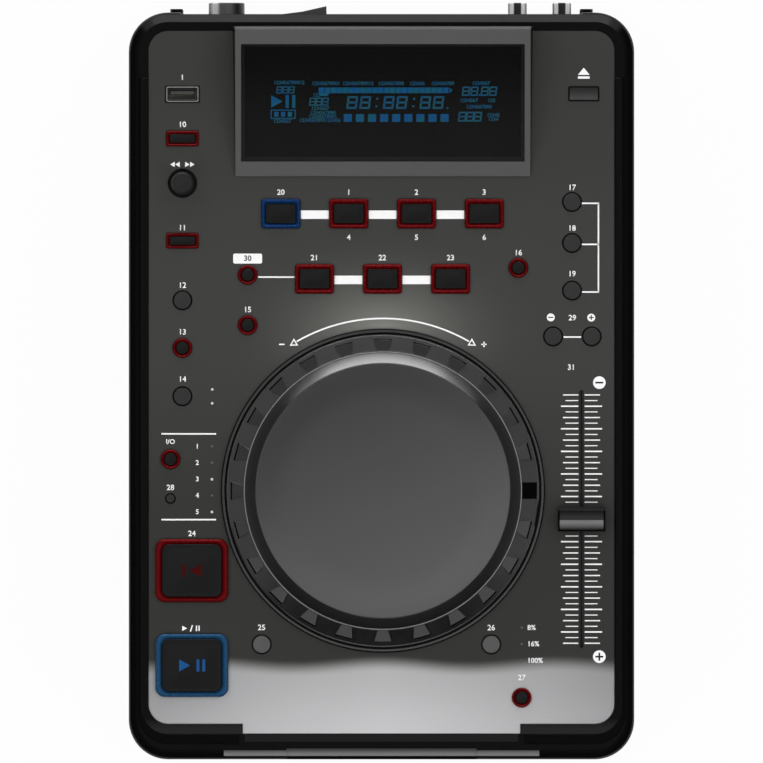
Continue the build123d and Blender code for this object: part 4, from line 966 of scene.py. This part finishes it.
def sign_discs():
    """White discs for the plus and minus signs: two at the fader's ends and two over the bend keys."""
    spots = {"minus": (96.5, -0.9, 2.8), "plus": (96.5, -122.3, 2.8)}
    bend = {"minus": (75.0, 28.0, 1.75), "plus": (92.9, 27.9, 1.75)}
    marks, signs = [], []
    for spot in (spots, bend):
        for sign, (x, y, radius) in spot.items():
            marks.append(disc(x, y, radius))
            size, line = radius * 1.25, radius * 0.27
            if sign == "plus":
                signs += plus_sign(x, y, size, line)
            else:
                signs.append(bar(x, y, size, line))
    return marks, signs


def range_marks():
    """The three values of the pitch range."""
    return [number(text, 64.6, y, 2.2, "LEFT") for text, y in zip(("8%", "16%", "100%"), RANGE_ROWS)]


def label_box():
    """A white box with a dark number over the small round key."""
    memo = middle("memo_key")
    y = memo.y + 7.2
    box = bar(memo.x, y, 12.8, 4.4)
    with Editing(box) as editing:
        editing.everything()
        bpy.ops.mesh.bevel(offset=0.7 * MM, segments=4, affect="VERTICES")
    return box, number("30", memo.x, y, LABEL_HEIGHT)


def deck_prints(white, dark):
    """All the printing on the deck, in one white piece and one dark piece on top of it."""
    discs, signs = sign_discs()
    box, box_number = label_box()
    marks = key_numbers() + control_signs() + pad_bars() + bracket_lines() + effect_group()
    marks += jog_arc() + fader_scale() + range_marks() + discs + [box]
    fader_number = number("31", 84.1, 5.8, LABEL_HEIGHT)
    dress(printed(marks + [fader_number], DECK), "deck_print_white", "cabinet", white)
    over = printed(signs + [box_number], DECK + 0.03, 0.02)
    dress(over, "deck_print_dark", "cabinet", dark)


# The display


def display_slope():
    """The tilt of the display, from the highest and lowest points of its window's box."""
    size = size_of("display_window")
    # rise = length * sin + thickness * cos and run = length * cos + thickness * sin
    slope = atan2(size.z, size.y)
    for _ in range(8):
        rise = size.z - WINDOW_THICKNESS * cos(slope)
        slope = atan2(rise, size.y - WINDOW_THICKNESS * sin(slope))
    return slope


SLOPE = display_slope()


def on_slope(thing, depth):
    """Tilts a flat piece from the origin onto the display's slope, this deep under the window's face."""
    normal = Vector((0, -sin(SLOPE), cos(SLOPE)))
    spot = WINDOW + normal * (WINDOW_THICKNESS / 2 - depth)
    thing.rotation_euler = (SLOPE, 0, 0)
    thing.location = mm(*spot)
    return settle(thing)


SLANT = tan(radians(7))


def slanted(points, side=1, rise=1):
    """A flat shape of a digit, mirrored to one side and up or down, and slanted."""
    return plate(*[(side * x + rise * y * SLANT, rise * y) for x, y in points])


def eight():
    """A slanted digit of seven mitred segments, 10 high and round the origin."""
    wide, high, line, gap = 4.0, 5.0, 1.6, 0.16
    half, tip, waist = line / 2, wide - line / 2 - gap, wide - line - gap
    level = [(gap - wide, high), (wide - gap, high), (waist, high - line), (-waist, high - line)]
    upright = [(wide, high - gap), (wide, gap), (wide - half, gap), (wide - line, half + gap)]
    upright.append((wide - line, high - line - gap))
    centre = [(-tip, 0), (-waist, half), (waist, half), (tip, 0), (waist, -half), (-waist, -half)]
    parts = [slanted(level), slanted(level, rise=-1), slanted(centre)]
    parts += [slanted(upright, side, rise) for side in (-1, 1) for rise in (-1, 1)]
    return joined(parts)


# Groups of digits: the middles of the digits, the middle of the row and the digits' height
DIGIT_GROUPS = (
    ((-45.8, -43.1, -40.4), 5.5, 3.3),
    ((-31.1, -28.3, -25.5), 0.1, 3.7),
    ((-13.6, -7.8, 2.6, 8.4, 18.8, 24.6), -0.3, 5.9),
    ((36.8, 40.5, 45.1, 48.8), 4.9, 4.3),
    ((35.2, 38.6, 42.0), -6.8, 4.5),
)
# Rows of small figures: their middle and how many there are
SMALL_ROWS = (
    *((-41.5, 8.8, 12), (-25.2, 8.4, 11), (-11.0, 8.4, 12), (3.6, 8.4, 10), (15.1, 8.4, 6), (26.5, 8.4, 9)),
    *((43.4, 8.5, 7), (38.1, 0.6, 7), (48.1, 0.6, 3), (42.5, -2.3, 10), (48.9, -6.1, 5), (48.9, -8.0, 4)),
    *((-29.3, 3.1, 3), (-27.8, -3.0, 7), (-26.6, -5.1, 10), (-26.6, -6.8, 11)),
    *((-27.9, -8.5, 16), (-44.6, -8.9, 7)),
)
SMALL_HEIGHT = 1.6


def display_digits(lit):
    """The segments of the counters, the time and the pitch, and the rows of small figures."""
    pattern = eight()
    marks = []
    for centres, y, height in DIGIT_GROUPS:
        marks += [copied(pattern, x, y, height / 10) for x in centres]
    dropped(pattern)
    for x in (-2.6, 13.7):
        marks += [bar(x + y * SLANT, y, 0.9, 0.9) for y in (-2.0, 1.4)]
    marks += [bar(42.7, 3.1, 0.7, 0.7), bar(28.6, -2.8, 0.8, 0.8)]
    for x, y, count in SMALL_ROWS:
        marks.append(number("1234567890123456"[:count], x, y, SMALL_HEIGHT))
    return dress(on_display(marks), "display_digits", "cabinet", lit)


def display_graphics(lit):
    """The brighter signs of the display: play and pause, a framed group, a bar and a row of squares."""
    marks = [play_sign(-46.9, 0.2, 5.6)]
    marks += pause_sign(-40.9, 0.2, 6.0)
    x, y, wide, tall, line = -44.15, -5.7, 11.1, 4.2, 0.45
    for side in (-1, 1):
        marks.append(bar(x, y + side * (tall - line) / 2, wide, line))
        marks.append(bar(x + side * (wide - line) / 2, y, line, tall - 2 * line))
    marks += [bar(x + shift, y, 1.8, 2.2) for shift in (-3, 0, 3)]
    # progress bar with a pointed end, cut into steps
    steps, pitch = 22, 2.62
    marks += [bar(-27.2 + pitch * index, 5.3, pitch - 0.16, 2.6) for index in range(steps)]
    marks.append(plate((29.5, 4.0), (30.8, 5.3), (29.5, 6.6)))
    marks.append(plate((-28.5, 4.0), (-27.6, 2.7), (-24.6, 2.7), (-23.6, 4.0)))
    marks += [bar(-15.5 + 5.35 * index, -7.4, 3.6, 3.6) for index in range(9)]
    return dress(on_display(marks), "display_segments", "cabinet", lit)


def on_display(marks):
    """Joins flat marks and lays them on the display under its window."""
    thing = face_up(joined(marks))
    modified(thing, "SOLIDIFY", thickness=0.03 * MM, offset=1.0)
    return on_slope(thing, 1.48)


def window_pane(glass):
    """The display's window as a sheet with eased edges, clear of what lies under it."""
    size = size_of("display_window")
    length = (size.y - WINDOW_THICKNESS * sin(SLOPE)) / cos(SLOPE)
    thickness = 1.36
    pane = block((0, 0, 0), (size.x, length, thickness))
    bevelled(pane, 0.18, 3)
    on_slope(pane, thickness / 2)
    return dress(pane, "window_pane", "cabinet", glass, ["display_window"])


# Keys


FLANGE = 1.0
FLANGE_TOP = DECK - 2.2


def drawn(spot, start, stop):
    """Draws the selected top face out to a new width, length and height."""
    rise = mm(0, 0, stop[2] - start[2])
    bpy.ops.mesh.extrude_region_move(TRANSFORM_OT_translate={"value": rise})
    scale = (stop[0] / start[0], stop[1] / start[1], 1)
    bpy.ops.transform.resize(value=scale, center_override=mm(spot[0], spot[1], stop[2]))


def stood_up(spot, corner, steps):
    """A block or round that is drawn up through steps of (width, length, height)."""
    (width, length, low), second = steps[:2]
    base = (spot[0], spot[1], (low + second[2]) / 2)
    if corner:
        thing = block(base, (width, length, second[2] - low))
    else:
        thing = rod(base, width / 2, second[2] - low)
    with Editing(thing) as editing:
        if corner:
            editing.select("edges", lambda edge: abs(edge.verts[0].co.z - edge.verts[1].co.z) > 1e-6)
            bpy.ops.mesh.bevel(offset=corner * MM, segments=8, affect="EDGES")
        editing.upper_faces()
        for start, stop in zip(steps[1:], steps[2:]):
            drawn(spot, start, stop)
    return thing


def key_cap(node, corner, edge, dish, gap):
    """A cap over its flange: rounded edges and a top that is hollowed a little for the fingertip."""
    low, high = (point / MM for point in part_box(node))
    spot = (low + high) / 2
    size = high - low
    width, length = size.x - 2 * FLANGE - 2 * gap, size.y - 2 * FLANGE - 2 * gap
    lip = min(FLANGE_TOP, high.z - 1.5)
    # steps of (inset from the cap's side, height)
    steps = [(-FLANGE - gap, low.z), (-FLANGE - gap, lip), (0, lip), (0, high.z - edge)]
    for angle in (0.4, 0.8, 1.2, pi / 2):
        steps.append((edge * (1 - cos(angle)), high.z - edge * (1 - sin(angle))))
    hollow = min(width, length) / 2 * 0.85
    for share in (0.1, 0.3, 0.5, 0.7, 0.9, 1.0):
        steps.append((edge + (hollow - edge) * share, high.z - dish * sin(share * pi / 2) ** 2))
    sizes = [(width - 2 * inset, length - 2 * inset, height) for inset, height in steps]
    cap = stood_up(spot, corner and corner * size.x / width, sizes)
    return smooth(cap, 40)


def opened(thing, low):
    """Turns a drawn-up solid whose last face lies level with its base into a frame with a hole."""
    level = low * MM + 1e-6
    with Editing(thing) as editing:
        editing.select("faces", lambda face: face.calc_center_median().z < level)
        bpy.ops.mesh.delete(type="FACE")
        editing.select("edges", lambda edge: edge.is_boundary)
        bpy.ops.mesh.bridge_edge_loops()
        editing.outward()
    return thing


FRAME_LOW = DECK - 3
# Kinds of light ring: outer width and length, corner, opening and height over the deck
RING_KINDS = (
    ((32.1, 27.8), 4.1, (26.64, 23.54), 2.2),
    ((17.2, 13.0), 1.2, (13.44, 8.74), 1.7),
    ((14.3, 6.8), 0.8, (11.44, 3.94), 1.4),
    ((8.7, 8.7), None, (5.74, 5.74), 1.5),
)


def ring_frame(outer, corner, opening, rise):
    """One light ring round the origin: upright outside, narrow crown and a slope down to the key."""
    top = DECK + rise
    edge = 0.35
    widths = [(wide - gap) / 2 for wide, gap in zip(outer, opening)]
    slope = 0.42 * min(widths)
    # steps of (share of the way to the opening, height)
    steps = [(0, FRAME_LOW), (0, top - 2 * edge), (0.07, top - 1.3 * edge), (0.18, top - 0.6 * edge)]
    steps += [(0.3, top - 0.15 * edge), (0.38, top), (0.48, top), (0.54, top - 0.06)]
    steps += [(0.95, top - slope), (1.0, top - slope - 0.15), (1.0, FRAME_LOW)]
    sizes = [(*(wide - 2 * share * side for wide, side in zip(outer, widths)), z) for share, z in steps]
    return smooth(opened(stood_up((0, 0), corner, sizes), FRAME_LOW), 30)


def ring_tube(size, corner, low):
    """The tube that carries a light ring, from the board up to the frame."""
    wall = 1.0
    wide = [side + 2 * wall for side in size]
    steps = [(*wide, low), (*wide, FRAME_LOW - 0.02), (*size, FRAME_LOW - 0.02), (*size, low)]
    return smooth(opened(stood_up((0, 0), corner, steps), low), 30)


def key_caps(dark, plain, pale, graded):
    """A shaped cap in place of each key's solid: dark where it is lit, paler beside the band as painted
    light, else grey.
    """
    for node in KEY_NODES:
        size = size_of(node)
        if node in LARGE_KEYS:
            corner, edge, dish = 3.2, 0.5, 0.45
        elif node in PAD_KEYS:
            corner, edge, dish = 0.85, 0.25, 0.25
        elif abs(size.x - size.y) > 1:
            corner, edge, dish = 0.55, 0.25, 0.12
        else:
            corner, edge, dish = None, 0.45, 0.35
        finish, gap = plain, 0.24
        if node in LARGE_KEYS + PAD_KEYS + LIT_BARS + LIT_ROUNDS:
            finish, gap = dark, 0.0
        if node == "eject_key":
            finish = graded
        # painted light: the keys beside the band are paler copies of the grey key
        if node in ("tap_key", "range_key"):
            finish = pale
        dress(key_cap(node, corner, edge, dish, gap), node + "_cap", node, finish, [node])


def light_ring_frames(red, blue):
    """The frames round the lit keys, and the tubes under them that stand on the board."""
    frames = {"red": [], "blue": []}
    board_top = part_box("red_light_rings")[0].z / MM
    for nodes, (outer, corner, opening, rise) in zip(RING_KEYS, RING_KINDS):
        pattern = ring_frame(outer, corner, opening, rise)
        size = max(opening[0] + 2.1, 9.385), max(opening[1] + 2.1, 9.385)
        tube = ring_tube(size, corner and 2.5, board_top)
        for node in nodes:
            spot = middle(node)
            colour = "blue" if node in BLUE_KEYS else "red"
            frames[colour] += [copied(thing, spot.x, spot.y) for thing in (pattern, tube)]
        dropped(pattern)
        dropped(tube)
    dress(joined(frames["red"]), "red_ring_frames", "cabinet", red, ["red_light_rings"])
    dress(joined(frames["blue"]), "blue_ring_frames", "cabinet", blue, ["blue_light_rings"])


def key_legends(blue, red):
    """Lit signs on the two large keys: play and pause, and back to the start."""
    play, cue = middle("play_key"), middle("cue_key")
    level = top_of("play_key") - 0.36
    size = 5.4
    marks = [play_sign(play.x - 3.2, play.y, size)]
    marks += pause_sign(play.x + 4.0, play.y, size)
    dress(printed(marks, level, 0.05), "play_legend", "play_key", blue)
    marks = [bar(cue.x - 3.6, cue.y, 1.4, size)]
    back, half = cue.x + 4.2, size / 2
    marks.append(plate((back, cue.y - half), (cue.x - 1.4, cue.y), (back, cue.y + half)))
    dress(printed(marks, level, 0.05), "cue_legend", "cue_key", red)


# Jog wheel


def jog_plate_piece(metal):
    """The touch plate: flat face, sloping edge and a thin rolled rim."""
    top = top_of("jog_plate")
    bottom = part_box("jog_plate")[0].z / MM
    # each point's radius and its depth under the face
    face = [(0, 0), (20, 0), (40, 0), (56.1, 0), (56.25, 0.03), (56.4, 0.13)]
    cone = [(CONE[0], 0.28), (60.9, 3.45), (CONE[1], 3.56), (61.28, 3.6)]
    edge = [(61.42, 3.62), (61.54, 3.72), (61.6, 3.9), (61.6, 4.3), (61.4, 4.4), (59.2, 4.4)]
    under = [(56.2, 2.4), (10.3, 2.4), (10.3, top - bottom), (8.3, top - bottom), (8.3, 2.4), (0, 2.4)]
    section = [(radius, top - depth) for radius, depth in face + cone + edge + under]
    piece = turned(section, JOG, 240)
    return dress(piece, "jog_touch_plate", "jog_plate", metal, ["jog_plate"])


def jog_collar_piece(plastic):
    """The fixed ring round the jog wheel, with softly rounded edges."""
    top = top_of("jog_collar")
    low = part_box("jog_collar")[0].z / MM
    outer = size_of("jog_collar").x / 2
    inner = 61.6
    section = [(inner, low), (outer, low), (outer, top - 0.6), (outer - 0.1, top - 0.38)]
    section += [(outer - 0.25, top - 0.28), (70.5, top), (70.25, top - 0.05), (70.1, top - 0.3)]
    section += [(70.1, TROUGH), (inner, TROUGH), (inner, low)]
    piece = turned(section, JOG, 240)
    return dress(piece, "jog_wheel_collar", "cabinet", plastic, ["jog_collar"])


# Fader


def fader_lips(felt):
    """Two dark dust lips that close the fader's slot."""
    size = (0.62, 112.5, 0.3)
    lips = [block((FADER.x + shift, FADER.y, DECK - 0.45), size) for shift in (-0.67, 0.67)]
    return dress(bevelled(joined(lips), 0.08), "fader_dust_lips", "cabinet", felt)


# Small parts


# Indicators: the pale ones that are lit, and the dark ones
PALE_SPOTS = [(-75.0, y) for y in (-3.9, -10.1)] + [(-75.1, EFFECT_ROWS[row]) for row in (2, 4)]
DARK_SPOTS = [(-75.1, EFFECT_ROWS[row]) for row in (0, 1, 3)] + [(62.1, y) for y in RANGE_ROWS]


def led_lenses(name, spots, clear):
    """The small indicator lenses beside the lists of values."""
    lenses = []
    for x, y in spots:
        lens = rod((x, y, DECK), 0.62, 0.5, sides=20)
        with Editing(lens) as editing:
            editing.upper_faces()
            bpy.ops.mesh.inset(thickness=0.16 * MM, depth=0.12 * MM)
            bpy.ops.mesh.inset(thickness=0.16 * MM, depth=0.06 * MM)
        lenses.append(smooth(lens, 60))
    return dress(joined(lenses), name, "cabinet", clear)


def knob_piece(plastic):
    """The track knob: fluted side, rounded shoulder and a shallow dish, over its shaft."""
    spot = middle("track_knob")
    low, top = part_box("track_knob")[0].z / MM, top_of("track_knob")
    radius, shaft = 5.0, 3.0
    skirt = DECK - 3
    section = [(0, low), (shaft, low), (shaft, skirt), (radius, skirt), (radius, top - 1.6)]
    section += [(radius - 0.25, top - 0.8), (radius - 0.8, top - 0.25), (radius - 1.5, top)]
    section += [(radius - 2.0, top - 0.05), (2, top - 0.35), (0, top - 0.4)]
    piece = turned(section, spot, 144)
    count, reach = 18, radius + 0.2
    flutes = []
    for index in range(count):
        angle = 2 * pi * index / count
        place = (spot.x + reach * cos(angle), spot.y + reach * sin(angle), DECK + 5.5)
        flutes.append(rod(place, 0.42, 9, sides=12))
    cutter = joined(flutes)
    modified(piece, "BOOLEAN", operation="DIFFERENCE", object=cutter, solver="EXACT")
    dropped(cutter)
    return dress(smooth(piece), "track_knob_cap", "track_knob", plastic, ["track_knob"])


def usb_port(steel, bright, tongue_plastic, gold):
    """The folded steel shell of the USB port with its flared lip, its tongue and the four contacts on it."""
    spot = middle("usb_socket")
    top = top_of("usb_socket")
    width, length, wall, depth = 12.3, 4.9, 0.3, 7.8
    sleeve = block((spot.x, spot.y, top - 0.25 - depth / 2), (width, length, depth))
    with Editing(sleeve) as editing:
        editing.upper_faces()
        bpy.ops.mesh.inset(thickness=wall * MM)
        down = mm(0, 0, -(depth - 0.4))
        bpy.ops.mesh.extrude_region_move(TRANSFORM_OT_translate={"value": down})
    bevelled(sleeve, 0.06)
    dress(sleeve, "usb_shell", "cabinet", steel)
    # the lip: a thin bright frame that lies on the port's rim, in steps of (inset, height)
    low, half, crown, edge = top - 0.02, top + 0.09, top + 0.2, 0.42
    steps = [(0, low), (0, half), (0.1, crown), (edge - 0.1, crown), (edge, half), (edge, low)]
    sizes = [(14.2 - 2 * inset, 6.7 - 2 * inset, height) for inset, height in steps]
    lip = smooth(opened(stood_up(spot, 0.7, sizes), low), 30)
    dress(lip, "usb_lip", "cabinet", bright)
    tongue = block((spot.x, spot.y + 0.75, top - 4.4), (width - 1.6, 1.5, 6.4))
    dress(bevelled(tongue, 0.15), "usb_tongue", "cabinet", tongue_plastic)
    places = [(spot.x + shift, spot.y - 0.06, top - 4.6) for shift in (-3.75, -1.25, 1.25, 3.75)]
    contacts = [block(place, (1.1, 0.18, 5.0)) for place in places]
    dress(bevelled(joined(contacts), 0.04), "usb_contacts", "cabinet", gold)


def socket_liners(left, right):
    """The coloured insulators inside the audio sockets, each with its contact hole."""
    names = ("audio_liner_left", "audio_liner_right")
    for name, x, material in zip(names, AUDIO_X, (left, right)):
        liner = rod((x, REAR_REACH - 1.2, SOCKET_HEIGHT), 3.4, 1.0, "Y", 48)
        with Editing(liner) as editing:
            editing.select("faces", lambda face: face.normal.y > 0.9)
            bpy.ops.mesh.inset(thickness=1.75 * MM)
            bpy.ops.mesh.delete(type="FACE")
        dress(bevelled(liner, 0.08), name, "cabinet", material)


# Stage


def make_floor():
    """A large pale floor that shows white and still takes the object's shadow."""
    floor = added(bpy.ops.mesh.primitive_plane_add, size=12, location=(0, 0, -0.0002))
    floor.name = "floor"
    finish = Finish("floor_paint", 0.0, {"Roughness": 0.9})
    finish.feed("Base Color", finish.scaled(grey(243), 0.98 + 0.04 * finish.noise(300, 2)))
    rays = finish.tree.nodes.new("ShaderNodeLightPath").outputs
    seen = Wire(finish, rays["Is Camera Ray"]).greater(Wire(finish, rays["Is Glossy Ray"]))
    seen = seen.greater(Wire(finish, rays["Is Transmission Ray"]))
    white = finish.node("ShaderNodeEmission", sockets={"Color": (1, 1, 1, 1), "Strength": 1.0})
    shader = Wire(finish, finish.shader.outputs["BSDF"])
    both = finish.node("ShaderNodeMixShader", sockets={0: 0.96 * seen, 1: shader, 2: white})
    finish.tree.links.new(both.socket, finish.tree.nodes["Material Output"].inputs["Surface"])
    floor.data.materials.append(finish.material)


def softbox(name, place, aim, width, height, radiance, mirrored=True):
    """A rectangular lamp, in metres, turned towards a point. Metals mirror it only where mirrored."""
    bpy.ops.object.light_add(type="AREA", location=place)
    lamp = made()
    lamp.name = name
    lamp.data.shape = "RECTANGLE"
    lamp.data.size = width
    lamp.data.size_y = height
    lamp.data.energy = radiance * pi * width * height
    lamp.rotation_euler = (Vector(aim) - Vector(place)).to_track_quat("-Z", "Y").to_euler()
    lamp.visible_camera = False
    lamp.visible_glossy = mirrored
    return lamp


def make_lamps():
    """Softboxes at the corners and overhead that metals don't mirror, and two long low ones behind."""
    aim = (0, 0, 0.05)
    for side in (-1, 1):
        softbox("key_lamp", (side * 1.15, -0.95, 1.55), aim, 0.85, 0.85, 4.4, False)
        softbox("fill_lamp", (side * 1.15, 0.95, 1.55), aim, 0.85, 0.85, 3.1, False)
    softbox("top_lamp", (0, 0, 2.3), aim, 1.2, 1.2, 3.0, False)
    softbox("rear_lamp", (0, 1.5, 0.5), (0, 0.05, 0.095), 1.6, 0.4, 2.3)
    softbox("wide_rear_lamp", (0, 1.6, 0.53), (0, 0.05, 0.095), 3.2, 0.42, 1.3)


def make_world():
    """A dim studio: brightest high up in front and on the right, with a dark wall in front.

    To the camera the background is plain white.
    """
    world = bpy.data.worlds.new("studio")
    bpy.context.scene.world = world
    world.use_nodes = True
    studio = Graph(world.node_tree)
    # the direction of view: x to the right, y to the rear and z up
    direction = studio.node("ShaderNodeTexCoord", output="Generated")
    parts = studio.node("ShaderNodeSeparateXYZ", sockets={"Vector": direction}).socket.node.outputs
    x, y, z = (Wire(studio, parts[axis]) for axis in "XYZ")
    overhead = (0.2 - 1.0 * y + 0.36 * x).greater(0.04).lesser(0.4 - 0.12 * studio.step(z, 0.95, 0.92))
    overhead = overhead.greater(0.15 * studio.step(z, 0.95, 0.9))
    between = 0.2 - 0.19 * studio.step(y, -0.35, -0.65)
    high, low = studio.step(z, 0.68, 0.85), studio.step(z, 0.5, 0.36)
    level = overhead * high + between * (1 - high) * (1 - low) + 0.07 * low
    camera_ray = studio.tree.nodes.new("ShaderNodeLightPath").outputs["Is Camera Ray"]
    seen = Wire(studio, camera_ray)
    background = studio.tree.nodes["Background"]
    background.inputs["Color"].default_value = (1, 1, 1, 1)
    strength = level * (1 - seen) + seen
    studio.tree.links.new(strength.socket, background.inputs["Strength"])


def make_camera():
    """A long lens straight above the deck."""
    distance = 12.0
    view_width = 0.338
    bpy.ops.object.camera_add(location=(0, -0.0004, DECK * MM + distance), rotation=(0, 0, 0))
    camera = made()
    camera.data.sensor_width = 36
    camera.data.lens = 36 * distance / view_width
    camera.data.clip_end = 50
    bpy.context.scene.camera = camera


# All together

# A line across the deck, and the deeper blue of the ring behind it
BLUE_TINTS = (-50, (0.01, 0.045, 0.18))


def finish_solids():
    """Every solid that stays gets the finish of what it is made of."""
    steel = plated("bright_steel", grey(176), 0.3, (30, 1, 1))
    dark_steel = plated("black_zinc", grey(46), 0.42)
    black = moulded("black_moulding", 22, 0.42)
    satin = moulded("satin_black", 34, 0.36)
    finishes = {
        "cabinet": cabinet_finish(),
        "chassis_steel": powder_coat(),
        "foot_rubber": rubber_finish("foot_rubber", 24),
        "screw_steel": dark_steel,
        "deck_metal": deck_finish(),
        "board": board_finish(),
        "switch_plastic": moulded("switch_black", 30, 0.4),
        "knob_plastic": satin,
        "socket_plastic": black,
        "collar_plastic": satin_metal("collar", 111, 0.25, 0.8),
        "bearing_steel": plated("turned_steel", grey(170), 0.25),
        "jog_rim": satin_metal("jog_rim", 122, 0.2, 0.92, rim=True),
        "jog_metal": jog_plate_finish(),
        "fader_case": plated("pressed_steel", grey(165), 0.35, (1, 30, 1)),
        "fader_cap": cap_finish(),
        "display_hood": hood_finish(),
        "display_glass": smoked_glass(),
        "display_panel": moulded("display_panel", 20, 0.25, 1.5, 0.002, 0.3),
        "gear_plastic": moulded("natural_acetal", 215, 0.42, 0.6, 0.008),
        "tray_plastic": moulded("tray_black", 27, 0.45, 0.45, 0.03),
        "loader_plastic": moulded("loader_black", 36, 0.5, 0.6, 0.02),
        "traverse_steel": plated("zinc_plate", grey(168), 0.36, (1, 20, 1)),
        "motor_steel": steel,
        "turntable_plastic": moulded("turntable_black", 40, 0.4, 0.4, 0.01),
        "pickup_metal": plated("cast_alloy", grey(130), 0.42),
        "clamp_plastic": moulded("clamp_white", 205, 0.4, 0.5, 0.008),
        "socket_metal": shell_metal(),
        "rocker_plastic": moulded("rocker_grey", 72, 0.25, 0.5, 0.004, 0.5),
        "red_light": glow_finish("red_light", (0.18, 0.004, 0.006), (0.01, 0.0, 0.0)),
        "blue_light": glow_finish("blue_light", (0.028, 0.11, 0.24), (0.0, 0.005, 0.013), BLUE_TINTS),
        "key_cap": moulded("key_black", 19, 0.34, 0.3, 0.01),
    }
    slots = {row["node"]: row["material_slot"] for row in frame["record"]["subparts"]}
    for node, thing in NODES.items():
        for slot in thing.material_slots:
            slot.material = finishes[slots[node]]
    return finishes


def main():
    make_camera()
    make_world()
    make_lamps()
    make_floor()
    finishes = finish_solids()
    white, dark = ink_finish("white_ink", INK_WHITE), ink_finish("dark_ink", INK_DARK)
    plain_keys = key_finish("key_grey", 46)
    keys_in_painted_light = key_finish("key_grey_painted_light", 84)
    deck_prints(white, dark)
    display_graphics(lamp_finish("display_blue", (0.004, 0.18, 0.5), 1.0, (0.006, 0.22, 0.36)))
    display_digits(lamp_finish("display_dim_blue", (0.012, 0.17, 0.37), 1.0, (0.02, 0.2, 0.3)))
    window_pane(finishes["display_glass"])
    key_caps(finishes["key_cap"], plain_keys, keys_in_painted_light, key_finish("key_graded_grey", 32, 64))
    light_ring_frames(finishes["red_light"], finishes["blue_light"])
    blue_sign = lamp_finish("blue_sign", (0.012, 0.07, 0.21), 1.0)
    red_sign = lamp_finish("red_sign", (0.075, 0.004, 0.004), 0.6)
    key_legends(blue_sign, red_sign)
    jog_plate_piece(finishes["jog_metal"])
    jog_collar_piece(finishes["collar_plastic"])
    fader_lips(rubber_finish("slot_felt", 44))
    led_lenses("indicator_lenses", PALE_SPOTS, moulded("indicator_lens", 215, 0.25, 0.5, 0.002))
    led_lenses("dark_indicator_lenses", DARK_SPOTS, moulded("dark_indicator_lens", 92, 0.25, 0.5, 0.002))
    knob_piece(finishes["knob_plastic"])
    gold = plated("contact_gold", (0.5, 0.36, 0.14, 1), 0.25)
    tongue_plastic = moulded("tongue_grey", 66, 0.4, 0.5, 0.004)
    shell_steel, lip_grey = plated("shell_steel", grey(150), 0.35), moulded("lip_grey", 138, 0.3, 0.5, 0.002)
    usb_port(shell_steel, lip_grey, tongue_plastic, gold)
    red_plastic = moulded("socket_red", 0, 0.4, colour=(0.4, 0.012, 0.012, 1))
    socket_liners(moulded("socket_white", 215, 0.4), red_plastic)
    view = bpy.context.scene.view_settings
    view.view_transform = "Standard"


main()
